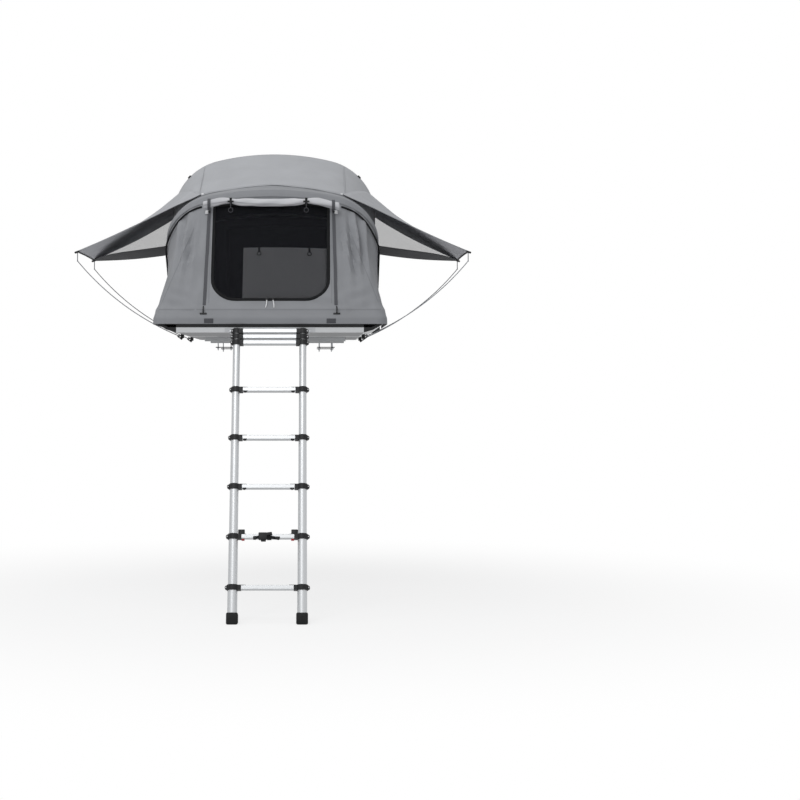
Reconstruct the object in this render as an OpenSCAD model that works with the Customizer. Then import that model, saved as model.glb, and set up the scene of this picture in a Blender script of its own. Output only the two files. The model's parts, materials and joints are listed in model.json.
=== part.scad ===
/* [Base] */
// Length of each folding base half
half_l = 1200; // [1050:10:1300]
// Gap between the two halves at the fold line
fold_gap = 4; // [2:1:10]
// Half width of the flat floor between the upturned side rails
floor_hw = 590; // [550:5:600]
// Half width over the upturned side rails
lip_hw = 733; // [725:1:760]
// Height of the floor bars and of the floor panel
bar_h = 32; // [28:1:40]
// Width of the floor bars in plan
bar_w = 42; // [30:1:60]
// Height of the side lips above the underside of the floor
lip_rise = 90; // [80:1:110]
// Thickness of the side lips
lip_t = 16; // [8:1:18]
// Height of the hinge shelf above the underside of the floor
shelf_rise = 60; // [54:1:70]
// Width of the hinge shelf
shelf_w = 25; // [22:1:30]
// Length of the corner mouldings
cap_l = 80; // [60:5:120]
// Height of the fabric channel above the floor
channel_h = 44; // [30:1:50]
// Thickness of the fabric channel
channel_t = 10; // [6:1:14]

/* [Mattress] */
// Thickness of the mattress
mattress_t = 60; // [40:1:64]
// How far the mattress reaches past the flat floor at each side
mattress_over = 40; // [0:5:44]
// Gap between a mattress half and the ends of its base half
mattress_gap = 10; // [5:1:40]
// How far the mattress sides pull in between their corners
mattress_draw = 10; // [0:1:20]

/* [Rack mounting] */
// Height of the mounting rails
rail_h = 28; // [24:1:36]
// Width of the mounting rails
rail_w = 46; // [40:1:60]
// Length of the mounting rails
rail_l = 1000; // [900:10:1100]
// Distance between the two mounting rails
rail_pitch = 700; // [500:10:900]
// Distance between the two clamps on a rail
clamp_pitch = 720; // [500:10:860]
// Distance between the two bolts of a clamp
bolt_pitch = 92; // [80:1:110]
// Diameter of the clamp bolts
bolt_d = 8; // [6:0.5:9]
// Room for the rack bar between rail and clamp jaw
jaw_gap = 40; // [30:1:55]
// How far a clamp jaw reaches past its bolts
jaw_end = 17; // [14:1:24]
// Thickness of the clamp jaws
jaw_t = 6; // [4:0.5:10]
// Width of the clamp jaws
jaw_w = 40; // [30:1:46]

/* [Hoops] */
// Height of the fold pivot above the floor
pivot_rise = 110; // [100:1:125]
// Distance of the outer hoop pivots from the fold line
hoop_set = 40; // [36:1:50]
// Drop of the outer hoop pivots below the fold pivot
hoop_drop = 30; // [26:1:32]
// Elevation of the front and rear hoops above the base
hoop_lean = 47; // [38:1:52]
// Half width of a hoop between its leg centres
leg_x = 684; // [680:1:686]
// Diameter of the hoop tube
hoop_d = 19; // [16:0.5:20]
// Height of the straight legs above the pivot
leg_h = 685; // [600:5:760]
// Radius of the shoulder bends
shoulder_r = 385; // [300:5:450]
// Slope at the ends of the crown bend, in degrees
crown_a = 13.7; // [8:0.1:20]
// Diameter of the pivot pins
pin_d = 8; // [6:0.5:10]
// Running clearance of pins, tubes and eyes
run_gap = 0.3; // [0.2:0.05:0.5]

/* [Fabric] */
// Thickness of the fabric solids
cloth_t = 3; // [2:0.5:3]
// Distance from the hoop centres to the outside of the canopy
canopy_o = 16; // [15:0.5:24]
// Gap between fabric layers and between fabric and frame
cloth_gap = 0.8; // [0.5:0.1:1]
// Half width of the doors
door_hw = 368; // [300:2:400]
// Height of the doors along the wall
door_h = 700; // [500:5:720]
// Distance from the base edge to the door sill along the wall
sill_h = 136; // [100:2:180]
// Corner radius at the door sill
door_r = 150; // [60:5:200]
// Distance of the awning tips from the centre line
tip_x = 1315; // [1200:5:1400]
// Height of the awning tips
tip_z = 590; // [540:5:660]
// Half length of the awnings along the tent
awning_hl = 450; // [380:5:500]
// Height at which the window flaps leave the side walls
flap_z = 640; // [600:5:700]
// Diameter of the rolled-up door
roll_d = 46; // [36:1:60]

/* [Awning rods] */
// Diameter of the rods
rod_d = 6; // [5:0.5:7]
// Distance of the rod pivots outside the flat floor
rod_out = 40; // [35:1:50]
// Height of the rod pivots
rod_z = 22; // [18:1:24]
// Bend radius of the rods
rod_r = 1750; // [1400:50:2500]
// Height of the upright end of a rod
rod_end_h = 57; // [40:1:80]

/* [Ladder] */
// Distance between the ladder rails
ladder_w = 414; // [380:2:460]
// Lean of the ladder from the vertical, in degrees
ladder_lean = 20; // [12:1:26]
// Rung spacing where the ladder is drawn out
rung_pitch = 312; // [280:2:330]
// Rung spacing where the ladder is pushed together
stack_pitch = 38; // [37:1:46]
// Number of ladder sections
sections = 8; // [8]
// Sections that are pushed together at the top
stacked = 3; // [3]
// Outer diameter of the smallest rail tube
tube_d = 38; // [34:1:42]
// Growth of the tube diameter from section to section
tube_step = 3; // [3:0.1:3.6]
// Wall thickness of the rail tubes
tube_t = 1.2; // [1:0.05:1.2]
// Length of tube below the next rung
tube_lap = 30; // [24:1:40]
// Height of the collars
collar_h = 33; // [26:1:34]
// Wall thickness of the collars
collar_t = 5; // [3:0.5:7]
// Length of the collar noses
nose_l = 12; // [6:1:18]
// Length of the rung sockets
socket_l = 16; // [10:1:24]
// Height of the rungs
rung_h = 28; // [20:1:30]
// Depth of the rungs
rung_d = 34; // [26:1:40]
// Distance from the lowest rung to the ground along the ladder
foot_drop = 217; // [200:1:260]
// Width of the ladder feet
foot_w = 70; // [66:1:80]
// Height of the ladder feet
foot_h = 62; // [50:1:80]
// Travel of the release buttons
button_travel = 8; // [5:1:12]

/* [Hidden] */
$fn = 48;

// Main levels and lines
fold_y = -(half_l + fold_gap) / 2;
floor_z = rail_h + bar_h;
lip_z = rail_h + lip_rise;
shelf_z = rail_h + shelf_rise;
pivot_z = floor_z + pivot_rise;
end_d = fold_gap / 2 + half_l;
lip_in = lip_hw - lip_t;
mattress_hw = floor_hw + mattress_over;

// Underside of the side rails
knee_x = 60;
knee_z = 17;
knee_in = 50;
shelf_skin = 4;
lip_lead = 8;
corner_r = cap_l - 5;

// Hinge plates stand side by side on the shelf
plate_t = 6;
plate_gap = 2;
rear_plate_x = lip_in - plate_t * 2 - plate_gap - 6;
front_plate_x = rear_plate_x + plate_t + plate_gap;
plate_eye_r = 16;
plate_foot_l = 100;
plate_foot_h = 12;
eye_r = 13;
eye_w = 16;
pin_head_r = 7;
ferrule_t = 1.5;
ferrule_l = 40;
pin_head_t = 3;

// Hoop curve
shoulder_x = leg_x - shoulder_r;
crown_r = shoulder_r + shoulder_x / sin(crown_a);
crown_z = leg_h - (crown_r - shoulder_r) * cos(crown_a);
hoop_top = crown_z + crown_r;

// Fabric grid
free_r = 330;
leg_col = 3;
shoulder_n = 7;
crown_n = 5;
shoulder_col = leg_col + shoulder_n;
cols = shoulder_col + crown_n;
start_step = 30;
start_rise = 2;
edge_rank = 4;
edge_hw = lip_hw + cloth_t + cloth_gap;
edge_d = end_d + 8;
edge_r = 70;
skirt_h = 38;
side_draw = 25;
side_share = 7 / cols;
corner_share = 9 / cols;
fly_o = canopy_o + cloth_t + 1.6 * cloth_gap;
mesh_t = 1;

// Fly sheet: how far it comes towards the outer hoop (row 2), and the columns of its side seam
fly_end = 1.78;
fly_dip = 0.1;
seam_high = 9;
seam_low = 5;

// Wall of the tent from the base edge to the top of the outer hoop
wall_top_d = hoop_set + hoop_top * cos(hoop_lean);
wall_top_z = pivot_z - hoop_drop + hoop_top * sin(hoop_lean);
wall_a = atan((edge_d - wall_top_d) / (wall_top_z - lip_z));

// Awning rods, from the pivot to the foot of the upright end
rod_x = floor_hw + rod_out;
rod_top = [tip_x - 3, tip_z - 2 * cloth_t - 1.5 * cloth_gap - rod_end_h];
rod_chord = norm(rod_top - [rod_x, rod_z]);
rod_a = atan2(rod_top[1] - rod_z, rod_top[0] - rod_x);
rod_half_a = asin(rod_chord / 2 / rod_r);
fork_gap = 6;
fork_t = 5;
fork_r = 9;
fork_l = 30;
fork_w = 22;
knuckle_r = 7;
elbow_t = 1.5;

// Ladder
ladder_out = 41;
ladder_d = end_d + ladder_out;
ladder_z = rail_h + 4;
rail_x = ladder_w / 2;
ladder_pin_d = 10;
bracket_t = 6;
bracket_w = 26;
pad_w = 40;
pad_t = 5;
pad_h = bar_h - 4;
extended_n = sections - stacked;
foot_wrap = 30;
sole_t = 30;
collar_lip = 6;
rung_t = 2;
button_w = 18;
button_h = 9;
button_dep = 16;

function lerp(a, b, t) = a + (b - a) * t;
function mirror_x(p) = [-p[0], p[1], p[2]];
// From a distance off the fold line to a place along Y, ahead of the fold line or behind it
function to_y(p, dir) = [p[0], fold_y + dir * p[1], p[2]];
function tube_r(k) = tube_d / 2 + (k - 1) * tube_step / 2;
function rung_s(k) = k <= stacked ? (k - 1) * stack_pitch
    : (stacked - 1) * stack_pitch + (k - stacked) * rung_pitch;
ground_z = ladder_z - (rung_s(sections) + foot_drop) * cos(ladder_lean);

// Hoop outline in its own plane, offset outwards, at a column from the leg to the crown
function hoop_at(c, o) =
    c < leg_col ? [leg_x + o, lerp(free_r, leg_h, (c - 1) / (leg_col - 1))]
    : c < shoulder_col
        ? let (a = (c - leg_col) / shoulder_n * (90 - crown_a))
          [shoulder_x + (shoulder_r + o) * cos(a), leg_h + (shoulder_r + o) * sin(a)]
        : let (a = crown_a * (cols - c) / crown_n)
          [(crown_r + o) * sin(a), crown_z + (crown_r + o) * cos(a)];

// Points along the centre hoop and an outer hoop: [x, distance from the fold line, z]
function roof_at(c, o) = let (q = hoop_at(c, o)) [q[0], 0, pivot_z + q[1]];
function arch_at(c, o) = let (q = hoop_at(c, o))
    [q[0], hoop_set + q[1] * cos(hoop_lean), pivot_z - hoop_drop + q[1] * sin(hoop_lean)];
// Place on the roof between the centre hoop (row 0) and an outer hoop (row 2)
function roof_place(row, c, o) = lerp(roof_at(c, o), arch_at(c, o), row / 2);

// Foot of a canopy row on the side lip, a little higher towards the fold line
function start_point(row) = [edge_hw, row * start_step, lip_z + start_rise * (edge_rank - row)];

// Row of the canopy along the edge of the base
function edge_point(s, row, out) =
    let (d0 = row * start_step, d1 = edge_d - edge_r)
    s < side_share ? [edge_hw + out, lerp(d0, d1, s / side_share)]
    : s < corner_share
        ? let (a = 90 * (s - side_share) / (corner_share - side_share))
          [edge_hw - edge_r + (edge_r + out) * cos(a), d1 + (edge_r + out) * sin(a)]
        : [lerp(edge_hw - edge_r, 0, (s - corner_share) / (1 - corner_share)), edge_d + out];
function edge_row(row, z, out) =
    [for (k = [0:cols]) let (p = edge_point(k / cols, row, out)) [p[0], p[1], z]];

function mid_row(a, b, t) = [for (k = [0:cols]) lerp(a[k], b[k], t)];
function full_row(r) = concat([for (k = [0:len(r) - 1]) mirror_x(r[k])], [for (k = [len(r) - 2:-1:0]) r[k]]);

function roof_row(o) = concat([start_point(0)], [for (c = [1:cols]) roof_at(c, o)]);
function arch_row(o) = concat([start_point(2)], [for (c = [1:cols]) arch_at(c, o)]);
// The sides pull in between an outer hoop and the base
function drawn_in(r) = [for (k = [0:cols]) r[k] - [side_draw * max(0, sin(180 * (k - 1) / 7)), 0, 0]];
function start_at(r, row) = concat([start_point(row)], [for (k = [1:cols]) r[k]]);

function canopy_rows() = let (
        roof = roof_row(canopy_o), arch = arch_row(canopy_o), edge = edge_row(edge_rank, lip_z, 0),
        skirt = edge_row(edge_rank, lip_z - skirt_h, 2))
    [roof, start_at(mid_row(roof, arch, 0.5), 1), arch, start_at(drawn_in(mid_row(arch, edge, 0.5)), 3),
     edge, skirt];

function part_row(r, k0) = [for (k = [k0:cols]) r[k]];

// Column of the seam between fly and awning, highest at the front
function seam_col(row) = lerp(seam_low, seam_high, row / fly_end);
// The fly, whose front hem curves back between its corners
function fly_rows() = let (m = 10, n = 24)
    [for (i = [0:m]) [for (j = [0:n]) let (u = j / n, row = i / m * (fly_end - fly_dip * u * u))
        roof_place(row, lerp(seam_col(row), cols, u), fly_o)]];

// Closed thin solid from a grid of points, between two depths below its outer face
function grid_normal(g, i, j) = let (
        a = g[min(i + 1, len(g) - 1)][j] - g[max(i - 1, 0)][j],
        b = g[i][min(j + 1, len(g[0]) - 1)] - g[i][max(j - 1, 0)],
        c = cross(a, b))
    c / norm(c);
module sheet(g, o0, o1, side) {
    m = len(g);
    n = len(g[0]);
    outer = [for (i = [0:m - 1]) for (j = [0:n - 1]) g[i][j] - side * o0 * grid_normal(g, i, j)];
    inner = [for (i = [0:m - 1]) for (j = [0:n - 1]) g[i][j] - side * o1 * grid_normal(g, i, j)];
    quads = concat(
        [for (i = [0:m - 2]) for (j = [0:n - 2]) let (a = i * n + j) [a, a + 1, a + n + 1, a + n]],
        [for (i = [0:m - 2]) for (j = [0:n - 2]) let (a = m * n + i * n + j) [a, a + n, a + n + 1, a + 1]],
        [for (j = [0:n - 2]) let (b = m * n + j) [j, b, b + 1, j + 1]],
        [for (j = [0:n - 2]) let (a = (m - 1) * n + j, b = m * n + a) [a, a + 1, b + 1, b]],
        [for (i = [0:m - 2]) let (a = i * n, b = m * n + a) [a, a + n, b + n, b]],
        [for (i = [0:m - 2]) let (a = i * n + n - 1, b = m * n + a) [a, b, b + n, a + n]]);
    tris = [for (q = quads) for (t = [[q[0], q[1], q[2]], [q[0], q[2], q[3]]])
        side > 0 ? t : [t[0], t[2], t[1]]];
    polyhedron(concat(outer, inner), tris);
}

// Closed solid through a stack of equal loops, with a fan at each end
module stack(loops) {
    m = len(loops);
    n = len(loops[0]);
    function centre(l) = [for (a = [0:2]) let (v = [for (p = l) p[a]]) v * [for (p = l) 1] / n];
    points = concat([for (l = loops) each l], [centre(loops[0]), centre(loops[m - 1])]);
    tris = concat(
        [for (i = [0:m - 2]) for (j = [0:n - 1]) let (k = (j + 1) % n, a = i * n, b = a + n)
            each [[a + j, b + j, b + k], [a + j, b + k, a + k]]],
        [for (j = [0:n - 1]) [m * n, j, (j + 1) % n]],
        [for (j = [0:n - 1]) let (a = (m - 1) * n) [m * n + 1, a + (j + 1) % n, a + j]]);
    polyhedron(points, tris);
}

// Places a shape drawn for the rear half, with Y measured from the fold line
module half(dir) {
    translate([0, fold_y, 0])
        if (dir > 0) children();
        else mirror([0, 1, 0]) children();
}
module both_sides() {
    children();
    mirror([1, 0, 0]) children();
}
// Extrudes an outline drawn in X and Z along Y
module along_y(y0, y1) {
    translate([0, y1, 0]) rotate([90, 0, 0]) linear_extrude(y1 - y0) children();
}
// Extrudes an outline drawn in Y and Z along X
module along_x(x0, x1) {
    translate([x0, 0, 0]) rotate([90, 0, 90]) linear_extrude(x1 - x0) children();
}

// Base halves
module floor_panel(dir) {
    half(dir) translate([-floor_hw, fold_gap / 2 + bar_w, rail_h])
        cube([2 * floor_hw, half_l - 2 * bar_w, bar_h]);
}
module floor_bars(dir) {
    half(dir) for (y = [fold_gap / 2, end_d - bar_w])
        translate([-floor_hw, y, rail_h]) cube([2 * floor_hw, bar_w, bar_h]);
}
module side_rail_outline() {
    polygon([
        [floor_hw, rail_h], [floor_hw + knee_x, rail_h + knee_z], [lip_in, shelf_z - shelf_skin],
        [lip_hw, shelf_z + lip_lead], [lip_hw, lip_z], [lip_in, lip_z], [lip_in, shelf_z],
        [lip_in - shelf_w, shelf_z], [floor_hw + knee_in, floor_z], [floor_hw, floor_z]]);
}
module side_rails(dir) {
    half(dir) both_sides() along_y(fold_gap / 2, end_d - cap_l) side_rail_outline();
}
// Plan of a corner moulding, rounded at the outer corner, with Y from the end of the base
module corner_plan() {
    translate([0, -cap_l]) square([lip_hw, cap_l - corner_r]);
    translate([0, -cap_l]) square([lip_hw - corner_r, cap_l]);
    translate([lip_hw - corner_r, -corner_r]) circle(corner_r);
}
module edge_trim(dir) {
    half(dir) {
        both_sides() intersection() {
            along_y(end_d - cap_l, end_d) side_rail_outline();
            translate([0, end_d, rail_h - 1]) linear_extrude(lip_rise + 2) corner_plan();
        }
        translate([-floor_hw, edge_d - cloth_t - cloth_gap - channel_t, floor_z])
            cube([2 * floor_hw, channel_t, channel_h]);
    }
}

// Mattress with a crown and sides that pull in between the corners
module mattress(dir) {
    n = 40;
    d0 = fold_gap / 2 + mattress_gap;
    d1 = end_d - bar_w - mattress_gap;
    function corner_pull(t) = mattress_draw * (1 - pow(2 * t - 1, 4));
    function side_point(i, inset) = let (q = floor(i * 4 / n), t = i * 4 / n - q, p = corner_pull(t) + inset,
            x = mattress_hw, y0 = d0, y1 = d1)
        q == 0 ? [lerp(-x + inset, x - inset, t), y0 + p]
        : q == 1 ? [x - p, lerp(y0 + inset, y1 - inset, t)]
        : q == 2 ? [lerp(x - inset, -x + inset, t), y1 - p]
        : [-x + p, lerp(y1 - inset, y0 + inset, t)];
    function loop(inset, z) = [for (i = [0:n - 1]) let (p = side_point(i, inset)) [p[0], p[1], z]];
    half(dir) stack([
        loop(14, floor_z), loop(0, floor_z + mattress_t * 0.3), loop(2, floor_z + mattress_t * 0.6),
        loop(20, floor_z + mattress_t * 0.85), loop(90, floor_z + mattress_t * 0.96),
        loop(mattress_hw / 2.1, floor_z + mattress_t)]);
}

// Rack mounting
module mounting_rail_outline() {
    wall = 3;
    slot = bolt_d + 2;
    cavity = rail_w - 2 * wall;
    difference() {
        translate([-rail_w / 2, 0]) square([rail_w, rail_h]);
        translate([-cavity / 2, wall]) square([cavity, rail_h - 2 * wall]);
        translate([-slot / 2, -1]) square([slot, wall + 2]);
    }
}
module rack_places(y_side, x_side) {
    translate([x_side * clamp_pitch / 2, y_side * rail_pitch / 2, 0]) children();
}
module clamp_bolt() {
    head_t = 5;
    head_w = rail_w - 12;
    nut_r = bolt_d * 0.9;
    nut_t = bolt_d * 0.8;
    tail = 12;
    translate([-bolt_d / 2, -head_w / 2, 3]) cube([bolt_d, head_w, head_t]);
    translate([0, 0, -jaw_gap - jaw_t - nut_t - tail])
        cylinder(d = bolt_d, h = jaw_gap + jaw_t + nut_t + tail + 4);
    translate([0, 0, -jaw_gap - jaw_t - nut_t]) cylinder(r = nut_r, h = nut_t, $fn = 6);
}
module clamp_jaw(y_side, x_side) {
    jaw_l = bolt_pitch + 2 * jaw_end;
    rack_places(y_side, x_side) difference() {
        translate([-jaw_l / 2, -jaw_w / 2, -jaw_gap - jaw_t]) cube([jaw_l, jaw_w, jaw_t]);
        for (x = [-1, 1]) translate([x * bolt_pitch / 2, 0, -jaw_gap - jaw_t - 1])
            cylinder(d = bolt_d + 2 * run_gap, h = jaw_t + 2);
    }
}

// Hinge plates, drawn in Y and Z about the fold pivot
module hinge_plate_outline() {
    foot_z = shelf_z - pivot_z;
    difference() {
        union() {
            circle(plate_eye_r);
            translate([hoop_set, -hoop_drop]) circle(plate_eye_r);
            polygon([
                [-plate_eye_r * 0.6, -plate_eye_r * 0.8], [plate_eye_r * 0.6, plate_eye_r * 0.8],
                [hoop_set + plate_eye_r * 0.6, -hoop_drop + plate_eye_r * 0.8],
                [plate_foot_l + 10, foot_z + plate_foot_h], [plate_foot_l + 10, foot_z], [10, foot_z]]);
        }
        circle(d = pin_d + 2 * run_gap);
        translate([hoop_set, -hoop_drop]) circle(d = pin_d + 2 * run_gap);
    }
}
module hinge_plates(dir) {
    x0 = dir > 0 ? rear_plate_x : front_plate_x;
    half(dir) both_sides() translate([0, 0, pivot_z]) along_x(x0, x0 + plate_t) hinge_plate_outline();
}
// Pin along X through a hoop eye and its plate, with a head at each end
module cross_pin(x1) {
    x0 = leg_x - eye_w / 2 - 2;
    rotate([0, 90, 0]) {
        translate([0, 0, x0 - pin_head_t]) cylinder(r = pin_head_r, h = pin_head_t);
        translate([0, 0, x0]) cylinder(d = pin_d, h = x1 - x0);
        translate([0, 0, x1]) cylinder(r = pin_head_r, h = pin_head_t);
    }
}
module hoop_pins(dir, x1) {
    half(dir) both_sides() translate([0, hoop_set, pivot_z - hoop_drop]) cross_pin(x1);
}

// Hoop in its own plane: x across, y up the legs, with a ferrule over each tube joint
module hoop_tube() {
    r = hoop_d / 2;
    difference() {
        union() {
            both_sides() {
                translate([leg_x, 0, 0]) rotate([-90, 0, 0]) cylinder(r = r, h = leg_h);
                translate([leg_x, leg_h, 0]) ferrule();
                translate([leg_x - eye_w / 2, 0, 0]) rotate([0, 90, 0]) cylinder(r = eye_r, h = eye_w);
                translate([shoulder_x, leg_h, 0]) {
                    rotate_extrude(angle = 90 - crown_a) translate([shoulder_r, 0]) circle(r);
                    rotate([0, 0, 90 - crown_a]) translate([shoulder_r, 0, 0]) ferrule();
                }
            }
            translate([0, crown_z, 0]) rotate([0, 0, 90 - crown_a]) rotate_extrude(angle = 2 * crown_a)
                translate([crown_r, 0]) circle(r);
        }
        both_sides() translate([leg_x - eye_w, 0, 0]) rotate([0, 90, 0])
            cylinder(d = pin_d + 2 * run_gap, h = 2 * eye_w);
    }
}
// Sleeve along Y over a joint of the hoop tube
module ferrule() {
    rotate([90, 0, 0]) cylinder(d = hoop_d + 2 * ferrule_t, h = ferrule_l, center = true);
}
module outer_hoop(dir) {
    half(dir) translate([0, hoop_set, pivot_z - hoop_drop]) rotate([hoop_lean, 0, 0]) hoop_tube();
}

// Fabric
module door_outline(inset) {
    w = door_hw - inset;
    h = door_h - inset;
    r = door_r - inset;
    translate([-w, r]) square([2 * w, h - r]);
    translate([-w + r, inset]) square([2 * (w - r), r]);
    for (x = [-1, 1]) translate([x * (w - r), r + inset]) circle(r);
}
// Block through the wall with the outline of the door
module door_block(inset) {
    depth = 160;
    translate([0, edge_d, lip_z]) rotate([90 + wall_a, 0, 0]) translate([0, sill_h, -depth / 2])
        linear_extrude(depth) door_outline(inset);
}
module canopy(dir) {
    rows = [for (r = canopy_rows()) full_row(r)];
    half(dir) difference() {
        sheet(rows, 0, cloth_t, 1);
        door_block(0);
    }
}
module door_mesh(dir) {
    wall_col = 8;
    depth = (cloth_t - mesh_t) / 2;
    all_rows = canopy_rows();
    rows = [for (i = [2:4]) full_row(part_row(all_rows[i], wall_col))];
    half(dir) intersection() {
        sheet(rows, depth, depth + mesh_t, 1);
        door_block(0.4);
    }
}
module fly(dir) {
    half(dir) sheet([for (r = fly_rows()) full_row(r)], 0, cloth_t, 1);
}
// Rolled-up door under the arch, hung from two toggles
module roll_up() {
    n = 12;
    steps = 24;
    roll_hw = 440;
    toggle_x = 230;
    sag = 16;
    drop = 60;
    roll_gap = canopy_o + cloth_t + 1.5;
    function hang(x) = let (t = abs(x) / toggle_x)
        t < 1 ? sag * (1 - t * t) : sag * 2.4 * pow((abs(x) - toggle_x) / (roll_hw - toggle_x), 2);
    function girth(x) = roll_d / 2 * (0.82 + 0.18 * min(1, abs(abs(x) - toggle_x) / 90));
    function ring(x) = [for (i = [0:n - 1]) let (a = -360 * i / n, s = drop + hang(x))
        [x, wall_top_d + s * sin(wall_a) + roll_d / 2 + roll_gap + girth(x) * cos(a),
         wall_top_z - s * cos(wall_a) + girth(x) * sin(a)]];
    half(-1) stack([for (i = [0:steps]) ring(lerp(-roll_hw, roll_hw, i / steps))]);
}
// Awning: the wing of the fly sheet and the window flap below it, both held out at the tips
module awning(side) {
    n = 16;
    m = 4;
    edge_in = 30;
    // Seam along the shoulder, lapped over the edge of the fly
    lap = 0.04;
    lap_o = fly_o + 2 * cloth_t + 1.4 * cloth_gap;
    function seam_at(t) = let (row = fly_end * abs(2 * t - 1))
        to_y(roof_place(row, seam_col(row) + lap, lap_o), t < 0.5 ? -1 : 1);
    function tip_at(t, z) = [tip_x - edge_in * (1 - pow(2 * t - 1, 2)), fold_y + awning_hl * (2 * t - 1), z];
    function wall_at(t) = [leg_x + canopy_o + cloth_t + cloth_gap, fold_y + awning_hl * (2 * t - 1), flap_z];
    function wing(i, j) = lerp(seam_at(i / n), tip_at(i / n, tip_z), j / m);
    function flap(i, j) = lerp(wall_at(i / n), tip_at(i / n, tip_z - cloth_t - cloth_gap), j / m);
    mirror([side < 0 ? 1 : 0, 0, 0]) {
        sheet([for (i = [0:n]) [for (j = [0:m]) wing(i, j)]], 0, cloth_t, -1);
        sheet([for (i = [0:n]) [for (j = [0:m]) flap(i, j)]], 0, cloth_t, -1);
    }
}

// Awning rods, drawn with X along the chord and Z along the pivot axis
module at_rod(side, dir) {
    half(dir) mirror([side < 0 ? 1 : 0, 0, 0])
        translate([rod_x, awning_hl, rod_z]) rotate([0, -rod_a, 0]) children();
}
module rod(side, dir) {
    at_rod(side, dir) {
        difference() {
            translate([0, 0, -fork_gap + run_gap]) cylinder(r = knuckle_r, h = 2 * (fork_gap - run_gap));
            translate([0, 0, -fork_gap - 1]) cylinder(d = 5 + 2 * run_gap, h = 2 * fork_gap + 2);
        }
        difference() {
            translate([rod_chord / 2, 0, rod_r * cos(rod_half_a)]) rotate([90, 0, 0])
                rotate([0, 0, -90 - rod_half_a]) rotate_extrude(angle = 2 * rod_half_a)
                    translate([rod_r, 0]) circle(d = rod_d);
            translate([0, 0, -fork_gap - 1]) cylinder(r = knuckle_r - 1, h = 2 * fork_gap + 2);
        }
        translate([rod_chord, 0, 0]) rotate([0, rod_a, 0]) {
            sphere(d = rod_d + 2 * elbow_t);
            cylinder(d = rod_d, h = rod_end_h);
        }
    }
}
module rod_fork(side, dir) {
    at_rod(side, dir) {
        for (z = [fork_gap, -fork_gap - fork_t]) translate([0, 0, z]) {
            cylinder(r = fork_r, h = fork_t);
            translate([-fork_l, -fork_r, 0]) cube([fork_l, 2 * fork_r, fork_t]);
        }
        translate([-fork_l, -fork_r, -fork_gap - fork_t])
            cube([fork_l - fork_r - 2, 2 * fork_r, 2 * (fork_gap + fork_t)]);
        translate([0, 0, -fork_gap - fork_t]) cylinder(d = 5, h = 2 * (fork_gap + fork_t));
    }
    half(dir) mirror([side < 0 ? 1 : 0, 0, 0]) fork_pad();
}
// Pad that seats a fork on the underside of the side rail
module fork_pad() {
    slope = knee_z / knee_x;
    x0 = floor_hw + 6;
    x1 = rod_x - 12;
    low = rod_z - 14;
    along_y(awning_hl - fork_w / 2, awning_hl + fork_w / 2)
        polygon([[x0, low], [x1, low],
                 [x1, rail_h + (x1 - floor_hw) * slope], [x0, rail_h + (x0 - floor_hw) * slope]]);
}

// Ladder, drawn hanging straight down from its pivot
module at_ladder(s) {
    half(-1) translate([0, ladder_d, ladder_z]) rotate([ladder_lean, 0, 0]) translate([0, 0, -s]) children();
}
// Bar along X with a flat face and rounded corners
module rounded_bar(h, d, l) {
    r = h / 5;
    along_x(-l / 2, l / 2) {
        square([d, h - 2 * r], center = true);
        square([d - 2 * r, h], center = true);
        for (y = [-1, 1]) for (z = [-1, 1]) translate([y * (d / 2 - r), z * (h / 2 - r)]) circle(r);
    }
}
function tube_end(k) = k < sections ? rung_pitch + tube_lap : foot_drop - foot_wrap;
function socket_x(k) = rail_x - tube_r(k) - collar_t - socket_l;
module ladder_section(k) {
    top = collar_h / 2 - collar_lip;
    wall = rung_t;
    at_ladder(rung_s(k)) {
        both_sides() translate([rail_x, 0, -tube_end(k)]) difference() {
            cylinder(r = tube_r(k), h = tube_end(k) + top);
            translate([0, 0, -1]) cylinder(r = tube_r(k) - tube_t, h = tube_end(k) + top + 2);
        }
        difference() {
            rounded_bar(rung_h, rung_d, 2 * socket_x(k));
            rounded_bar(rung_h - 2 * wall, rung_d - 2 * wall, 2 * socket_x(k) + 2);
        }
    }
}
module collar(k) {
    outer_r = tube_r(k) + collar_t;
    top = collar_h / 2 - collar_lip;
    socket_h = rung_h + 3;
    socket_d = rung_d + 4;
    nose_w = 22;
    nose_h = collar_h - 8;
    difference() {
        union() {
            cylinder(r = outer_r, h = collar_h, center = true);
            translate([-outer_r - socket_l, -socket_d / 2, -socket_h / 2])
                cube([socket_l + outer_r, socket_d, socket_h]);
            translate([0, -nose_w / 2, -nose_h / 2]) cube([outer_r + nose_l - nose_h / 2, nose_w, nose_h]);
            translate([outer_r + nose_l - nose_h / 2, nose_w / 2, 0]) rotate([90, 0, 0])
                cylinder(d = nose_h, h = nose_w);
        }
        translate([0, 0, -collar_h]) cylinder(r = tube_r(k), h = collar_h + top);
        if (k > 1) cylinder(r = tube_r(k - 1) + run_gap, h = collar_h);
    }
}
module ladder_collars(k) {
    at_ladder(rung_s(k)) both_sides() difference() {
        translate([rail_x, 0, 0]) collar(k);
        if (k == 1) translate([rail_x + tube_r(1) + collar_t, 0, 0]) rotate([0, 90, 0])
            cylinder(d = ladder_pin_d + 2 * run_gap, h = nose_l + 1);
    }
}
bracket_x = rail_x + tube_r(1) + collar_t + nose_l + 1.5;
module ladder_bracket() {
    hang = bracket_w / 2;
    translate([0, 0, ladder_z]) along_x(bracket_x, bracket_x + bracket_t) difference() {
        union() {
            translate([ladder_d, 0]) circle(hang);
            translate([end_d, -hang]) square([ladder_d - end_d, 2 * hang]);
        }
        translate([ladder_d, 0]) circle(d = ladder_pin_d + 2 * run_gap);
    }
    translate([bracket_x, end_d, rail_h]) cube([pad_w, pad_t, pad_h]);
}
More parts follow.
